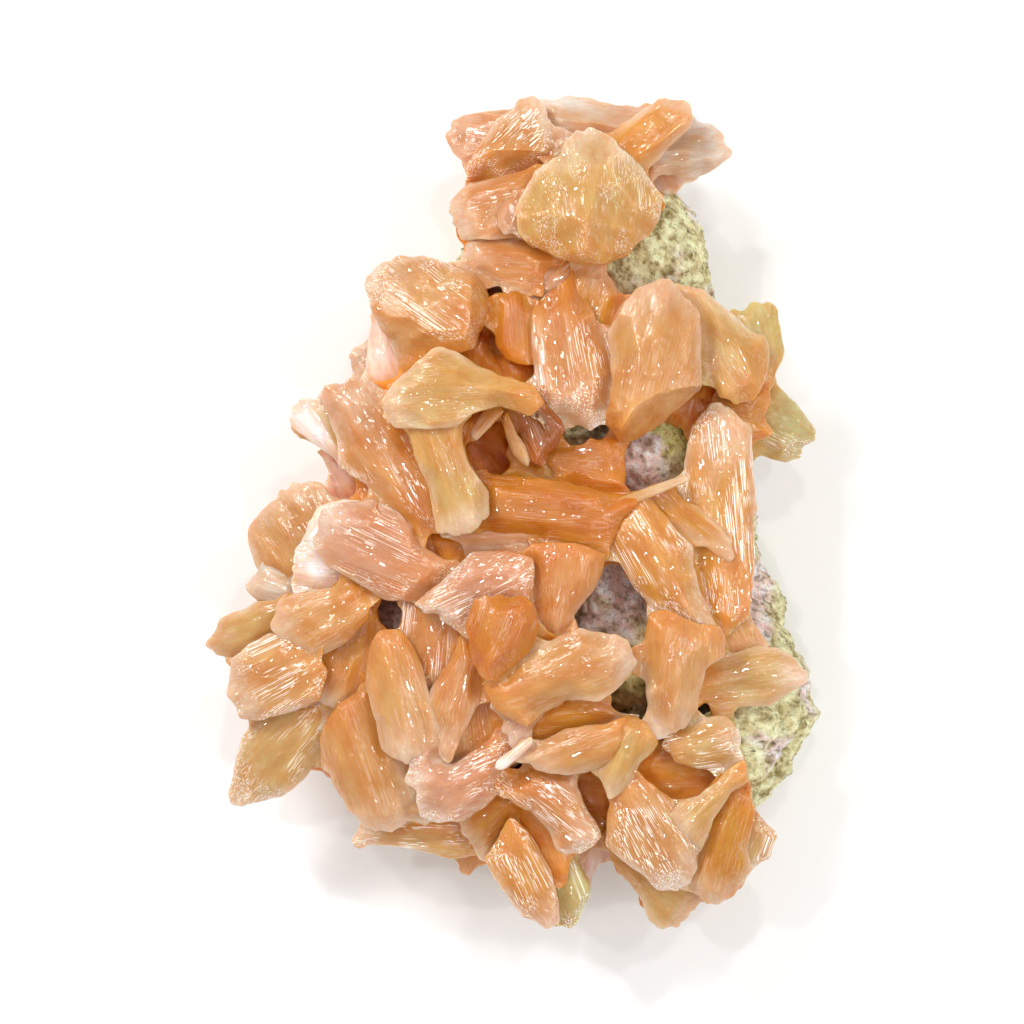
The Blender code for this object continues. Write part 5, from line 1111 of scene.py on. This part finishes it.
def mapped_noise(tree, source, scale, detail, roughness=0.5):
    """A noise texture over coordinates stretched by scale."""
    mapping = tree.nodes.new("ShaderNodeMapping")
    mapping.inputs["Scale"].default_value = scale
    tree.links.new(source, mapping.inputs["Vector"])
    noise = tree.nodes.new("ShaderNodeTexNoise")
    noise.inputs["Scale"].default_value = 1.0
    noise.inputs["Detail"].default_value = detail
    noise.inputs["Roughness"].default_value = roughness
    tree.links.new(mapping.outputs["Vector"], noise.inputs["Vector"])
    return noise.outputs["Fac"]


def map_range(tree, value, low, high, out_low, out_high):
    node = tree.nodes.new("ShaderNodeMapRange")
    tree.links.new(value, node.inputs["Value"])
    for name, number in (("From Min", low), ("From Max", high), ("To Min", out_low), ("To Max", out_high)):
        node.inputs[name].default_value = number
    return node.outputs["Result"]


def bump(tree, height, strength, distance, under=None):
    node = tree.nodes.new("ShaderNodeBump")
    node.inputs["Strength"].default_value = strength
    node.inputs["Distance"].default_value = distance
    tree.links.new(height, node.inputs["Height"])
    if under:
        tree.links.new(under, node.inputs["Normal"])
    return node.outputs["Normal"]


def tilted_cells(tree, source, scale, tilt):
    """How the normal leans in each cell of a mosaic over coordinates stretched by scale."""
    mapping = tree.nodes.new("ShaderNodeMapping")
    mapping.inputs["Scale"].default_value = scale
    tree.links.new(source, mapping.inputs["Vector"])
    cells = tree.nodes.new("ShaderNodeTexVoronoi")
    cells.inputs["Scale"].default_value = 1.0
    tree.links.new(mapping.outputs["Vector"], cells.inputs["Vector"])
    lean = tree.nodes.new("ShaderNodeVectorMath")
    lean.operation = "MULTIPLY_ADD"
    lean.inputs[1].default_value = (2 * tilt, 2 * tilt, 2 * tilt)
    lean.inputs[2].default_value = (-tilt, -tilt, -tilt)
    tree.links.new(cells.outputs["Color"], lean.inputs[0])
    return lean.outputs["Vector"]


def mixed(tree, kind, share, first, second):
    """A mix of two colours or vectors, each of them an output or a plain value."""
    node = tree.nodes.new("ShaderNodeMix")
    node.data_type = kind
    sockets = {"RGBA": (6, 7, 2), "VECTOR": (4, 5, 1)}[kind]
    for socket, value in ((0, share), (sockets[0], first), (sockets[1], second)):
        if hasattr(value, "is_output"):
            tree.links.new(value, node.inputs[socket])
        else:
            node.inputs[socket].default_value = value
    return node.outputs[sockets[2]]


def vector_math(tree, operation, *values):
    node = tree.nodes.new("ShaderNodeVectorMath")
    node.operation = operation
    for i, value in enumerate(values):
        tree.links.new(value, node.inputs[i])
    return node.outputs["Vector"]


def product(tree, *values):
    result = values[0]
    for value in values[1:]:
        node = tree.nodes.new("ShaderNodeMath")
        node.operation = "MULTIPLY"
        tree.links.new(result, node.inputs[0])
        tree.links.new(value, node.inputs[1])
        result = node.outputs["Value"]
    return result


def attribute(tree, name, output):
    node = tree.nodes.new("ShaderNodeAttribute")
    node.attribute_name = name
    return node.outputs[output]


def stilbite_colour(tree, grain, gloss_and_painted_streaks, where):
    """The crystal's tint with milky clouds and feathers inside, and painted highlights on its striae in
    places.
    """
    ramp = tree.nodes.new("ShaderNodeValToRGB")
    for element, (position, colour) in zip(ramp.color_ramp.elements, CLOUD_RAMP):
        element.position = position
        element.color = colour
    tree.links.new(mapped_noise(tree, grain, (0.16, 0.3, 0.3), 3.0), ramp.inputs["Fac"])
    clouds = tree.nodes.new("ShaderNodeMix")
    clouds.data_type = "RGBA"
    clouds.blend_type = "MULTIPLY"
    clouds.inputs[0].default_value = 1.0
    tree.links.new(attribute(tree, "tint", "Color"), clouds.inputs[6])
    tree.links.new(ramp.outputs["Color"], clouds.inputs[7])
    feathers = map_range(tree, mapped_noise(tree, grain, (0.35, 1.5, 1.5), 2.0, 0.6), 0.36, 0.64, 0.22, 0.0)
    feathered = mixed(tree, "RGBA", feathers, clouds.outputs[2], FEATHER_TINT)
    # Painted highlights: thin near-white streaks along the grain, in patches, on the crystals that have them
    highlight_hairs = mapped_noise(tree, grain, (0.05, 5.5, 5.5), 1.0)
    patch = map_range(tree, where, 0.47, 0.55, 0.0, 1.0)
    painted_streak = product(tree, map_range(tree, highlight_hairs, 0.55, 0.63, 0.0, 0.9), patch, gloss_and_painted_streaks)
    return mixed(tree, "RGBA", painted_streak, feathered, PAINTED_HIGHLIGHT_TINT)


def stilbite_glints(tree, grain, gloss_and_painted_streaks, where):
    """Normals that lean cell by cell: long cells along the growth, and small ones where it is frosted."""
    long_cells = tilted_cells(tree, grain, (0.1, 3.6, 3.6), 0.36)
    small_cells = tilted_cells(tree, grain, (1.1, 2.2, 2.2), 0.42)
    lean = mixed(tree, "VECTOR", map_range(tree, where, 0.43, 0.47, 1.0, 0.0), long_cells, small_cells)
    lean = mixed(tree, "VECTOR", map_range(tree, gloss_and_painted_streaks, 0.1, 0.7, 0.55, 1.0), (0.0, 0.0, 0.0), lean)
    normal = tree.nodes.new("ShaderNodeNewGeometry").outputs["Normal"]
    return vector_math(tree, "NORMALIZE", vector_math(tree, "ADD", normal, lean))


def stilbite_material():
    made, tree, shader = new_material("stilbite_crystal")
    grain = attribute(tree, "grain", "Vector")
    gloss_and_painted_streaks = attribute(tree, "gloss_and_painted_streaks", "Fac")
    where = mapped_noise(tree, grain, (0.13, 0.24, 0.24), 1.0)
    tree.links.new(stilbite_colour(tree, grain, gloss_and_painted_streaks, where), shader.inputs["Base Color"])
    tree.links.new(stilbite_glints(tree, grain, gloss_and_painted_streaks, where), shader.inputs["Coat Normal"])
    tree.links.new(attribute(tree, "coat", "Fac"), shader.inputs["Coat Weight"])
    shader.inputs["Coat Roughness"].default_value = 0.08
    shader.inputs["Coat IOR"].default_value = 1.6

    striae = mapped_noise(tree, grain, (0.07, 2.4, 2.4), 3.0)
    frost = mapped_noise(tree, grain, (1.5, 1.9, 1.9), 2.0, 0.6)
    normal = bump(tree, striae, 0.3, 0.25 * MM)
    normal = bump(tree, frost, 0.3, 0.2 * MM, normal)
    tree.links.new(normal, shader.inputs["Normal"])
    tree.links.new(map_range(tree, striae, 0.35, 0.65, 0.14, 0.36), shader.inputs["Roughness"])
    shader.inputs["Subsurface Weight"].default_value = 0.65
    shader.inputs["Subsurface Radius"].default_value = (1.0, 0.38, 0.15)
    shader.inputs["Subsurface Scale"].default_value = 6 * MM
    shader.inputs["IOR"].default_value = 1.5
    shader.inputs["Specular IOR Level"].default_value = 0.25
    return made


def nearest_on_spine(places):
    best = None
    spine = np.array(ROCK_SPINE, float)
    for start, end in zip(spine, spine[1:]):
        run = end - start
        share = np.clip((places - start) @ run / (run @ run), 0, 1)
        foot = start + share[:, None] * run
        gap = np.linalg.norm(places - foot, axis=1)
        if best is None:
            best, nearest = foot, gap
        else:
            closer = gap < nearest
            best = np.where(closer[:, None], foot, best)
            nearest = np.minimum(gap, nearest)
    return best


def rock_surface(place, outward_way, height):
    """Where points of the plain rock end up once it has its lumps: rows of x, y, z."""
    spots = np.concatenate([place, height[:, None]], axis=1)
    up = np.clip(height / 24, 0, 1) ** 2
    lump = rock_lumps(spots) * np.clip(height / 3, 0, 1)
    flat = place + outward_way * (lump * np.sqrt(1 - up * up))[:, None]
    swell = np.zeros(len(place))
    for x, y, reach, rise in ROCK_SWELLS:
        swell += rise * np.exp(-((place[:, 0] - x) ** 2 + (place[:, 1] - y) ** 2) / reach ** 2)
    level = height + lump * up + swell * (height / ROCK_LEVELS[-1][1]) ** 2
    return np.concatenate([flat, level[:, None]], axis=1)


def rock_top(loop, height):
    """The middle of the top, inside its last ring: the places past the ring's own, and triangles."""
    low, high = loop.min(axis=0), loop.max(axis=0)
    columns, rows = np.meshgrid(np.arange(low[0], high[0], ROCK_STEP), np.arange(low[1], high[1], ROCK_STEP))
    spread = np.stack([columns.ravel(), rows.ravel()], axis=1)
    spread = spread[inside(spread, loop)]
    spread = spread[distance_to_outline(spread, loop) > ROCK_STEP * 0.5]
    places, triangles, went = triangulate(np.concatenate([loop, spread]), [], len(loop))
    index = {went[i]: i for i in range(len(loop))}
    extra = [i for i in range(len(places)) if i not in index]
    index.update({place: len(loop) + i for i, place in enumerate(extra)})
    points = rock_surface(places[extra], np.zeros((len(extra), 2)), np.full(len(extra), height))
    return points, [[index[i] for i in triangle] for triangle in triangles]


def rock_geometry():
    """The crust as a fine loft over the same levels as the solid, with its knobs and grains."""
    rim = spaced(np.array(ROCK_RIM[::-1], float), ROCK_STEP, True)
    foot = nearest_on_spine(rim)
    levels = np.array(ROCK_LEVELS, float)
    reach = np.linalg.norm(rim - foot, axis=1).mean()
    lengths = np.hypot(np.diff(levels[:, 0]) * reach, np.diff(levels[:, 1]))
    along = np.concatenate([[0], np.cumsum(lengths)])
    spots = np.linspace(0, along[-1], int(along[-1] / ROCK_STEP))
    shares = np.interp(spots, along, levels[:, 0])
    heights = np.interp(spots, along, levels[:, 1])
    count = len(rim)
    way = rim - foot
    way /= np.maximum(np.linalg.norm(way, axis=1, keepdims=True), 1e-9)
    points = [rock_surface(foot + (rim - foot) * share, way, np.full(count, height))
              for share, height in zip(shares, heights)]
    faces = []
    for i in range(len(spots) - 1):
        for j in range(count):
            k = (j + 1) % count
            faces.append((i * count + j, i * count + k, (i + 1) * count + k, (i + 1) * count + j))
    faces.append(tuple(range(count - 1, -1, -1)))
    top, triangles = rock_top(foot + (rim - foot) * shares[-1], heights[-1])
    last = (len(spots) - 1) * count
    faces += [tuple(last + i for i in triangle) for triangle in triangles]
    return np.concatenate([*points, top]), faces


def rock_lumps(spots):
    """Knobbly mordenite: broad lumps, rounded tufts a few millimetres wide, and grains."""
    return smooth_noise(spots / 8.0, 71) * 2.0 + rock_grains(spots)


def rock_grains(spots):
    tufts = smooth_noise(spots / 2.4, 72) * 1.1
    knobs = (0.7 - np.abs(smooth_noise(spots / 1.5, 73))) * 1.5
    grains = smooth_noise(spots / 0.75, 74) * 0.4
    return tufts + knobs + grains


def crust_colour(spots):
    """Yellow-green crust with patches of other colours, painted shade between its tufts and painted light on
    them.
    """
    broad = smooth_noise(spots / 9, 81)
    colour = blend(np.tile(CRUST_TINTS["green"], (len(spots), 1)), np.array(CRUST_TINTS["mauve"]),
                   smooth_step(0.1, 0.45, broad))
    wander = np.stack([smooth_noise(spots / 3, 82), smooth_noise(spots / 3, 83)], axis=1) * 2.5
    for x, y, reach, tint in CRUST_PATCHES:
        away = np.linalg.norm(spots[:, :2] + wander - (x, y), axis=1)
        colour = blend(colour, np.array(CRUST_TINTS[tint]), smooth_step(reach, reach * 0.6, away))
    level = rock_grains(spots)
    level = (level - level.mean()) / level.std()
    # Painted shade in the low gaps between the tufts, and painted light on their high tops
    colour = blend(colour, np.array(CRUST_TINTS["gap"]), 0.8 * smooth_step(-0.2, -1.7, level))
    return blend(colour, np.clip(colour * 1.3 + 0.12, 0, 0.96), smooth_step(0.0, 1.2, level))


def mordenite_material():
    made, tree, shader = new_material("mordenite_crust")
    place = tree.nodes.new("ShaderNodeTexCoord").outputs["Object"]
    speckle = mapped_noise(tree, place, (950, 950, 950), 4.0, 0.7)
    grains = mapped_noise(tree, place, (1700, 1700, 1700), 3.0, 0.7)
    # Painted shade in the low speckle, where the bump sinks pits, and painted light on its high crests
    painted_pit_shade = map_range(tree, speckle, 0.47, 0.33, 0.0, 0.6)
    painted_crest_light = map_range(tree, speckle, 0.53, 0.66, 0.0, 0.55)
    base = mixed(tree, "RGBA", painted_pit_shade, attribute(tree, "crust", "Color"), (0.10, 0.055, 0.015, 1))
    base = mixed(tree, "RGBA", painted_crest_light, base, (0.92, 0.90, 0.66, 1))
    tree.links.new(base, shader.inputs["Base Color"])
    shader.inputs["Roughness"].default_value = 0.8
    shader.inputs["Specular IOR Level"].default_value = 0.0
    normal = bump(tree, speckle, 1.0, 0.8 * MM)
    normal = bump(tree, grains, 0.8, 0.35 * MM, normal)
    tree.links.new(normal, shader.inputs["Normal"])
    return made


def build_rock(surface):
    points, faces = rock_geometry()
    data = mesh_from("mordenite_crust", points, faces)
    rock = bpy.data.objects.new("mordenite_crust", data)
    bpy.context.scene.collection.objects.link(rock)
    data.materials.append(surface)
    spots = vertex_places(data)
    colour = np.ones((len(spots), 4))
    colour[:, :3] = crust_colour(spots)
    store(data, "crust", "FLOAT_COLOR", "POINT", "color", colour)
    data.shade_smooth()
    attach(rock, "root")
    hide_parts("mordenite_matrix")


def build_crystals(surface):
    groups = {
        "stilbite_top": TOP + UPPER,
        "stilbite_middle": CENTRE + LEFT + UNDER,
        "stilbite_bottom": LOWER + FOOT + RIGHT + FLANK,
    }
    shapes_of = {}
    number = 0
    for name, rows in groups.items():
        shapes_of[name] = [CrystalShape(Crystal(*row), number + i) for i, row in enumerate(rows)]
        number += len(rows)
    everyone = [shape for shapes in shapes_of.values() for shape in shapes]
    clusters = [(grown_cluster(name, shapes, everyone), shapes) for name, shapes in shapes_of.items()]
    everywhere = np.concatenate([vertex_places(cluster.data) for cluster, _ in clusters])
    crevices = crevice_map(everywhere)
    for cluster, shapes in clusters:
        paint_crystals(cluster, shapes, crevices)
        cluster.data.materials.clear()
        cluster.data.materials.append(surface)
        cluster.data.shade_smooth()
        cluster.data.set_sharp_from_angle(angle=math.radians(40))
        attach(cluster, "root")
        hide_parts("stilbite_crystals")


def area_light(name, place, target, size, power):
    data = bpy.data.lights.new(name, "AREA")
    data.shape = "DISK"
    data.size = size
    data.energy = power
    light = bpy.data.objects.new(name, data)
    light.location = place
    light.rotation_euler = (Vector(target) - Vector(place)).to_track_quat("-Z", "Y").to_euler()
    bpy.context.scene.collection.objects.link(light)


def build_floor():
    half = FLOOR_WIDTH / 2
    data = bpy.data.meshes.new("floor")
    corners = [(-half, -half, 0), (half, -half, 0), (half, half, 0), (-half, half, 0)]
    data.from_pydata(corners, [], [(0, 1, 2, 3)])
    floor = bpy.data.objects.new("floor", data)
    floor.location.z = -FLOOR_GAP
    bpy.context.scene.collection.objects.link(floor)
    surface, _, shader = new_material("pale_floor")
    shader.inputs["Base Color"].default_value = (0.88, 0.88, 0.88, 1)
    shader.inputs["Roughness"].default_value = 1.0
    shader.inputs["Specular IOR Level"].default_value = 0.0
    data.materials.append(surface)


def build_studio():
    scene = bpy.context.scene
    build_floor()
    world = bpy.data.worlds.new("studio")
    scene.world = world
    world.use_nodes = True
    world.node_tree.nodes["Background"].inputs["Color"].default_value = (1, 1, 1, 1)
    world.node_tree.nodes["Background"].inputs["Strength"].default_value = SKY
    for name, place, size, power in LAMPS:
        area_light(name, place, LAMP_AIM, size, power)
    for i, (x, y) in enumerate(GLINTS):
        area_light("glint." + str(i), (x, y, GLINT_HEIGHT), GLINT_AIM, GLINT_SIZE, GLINT_POWER)
    scene.view_settings.view_transform = "Standard"
    scene.view_settings.look = "None"


def build_camera():
    data = bpy.data.cameras.new("camera")
    data.sensor_width = SENSOR
    data.sensor_fit = "HORIZONTAL"
    data.lens = (CAMERA_HEIGHT - FACES_HEIGHT) * SENSOR / FRAME_WIDTH
    data.clip_end = 20
    camera = bpy.data.objects.new("camera", data)
    camera.location = (0, 0, CAMERA_HEIGHT)
    bpy.context.scene.collection.objects.link(camera)
    bpy.context.scene.camera = camera


build_rock(mordenite_material())
build_crystals(stilbite_material())
build_studio()
build_camera()
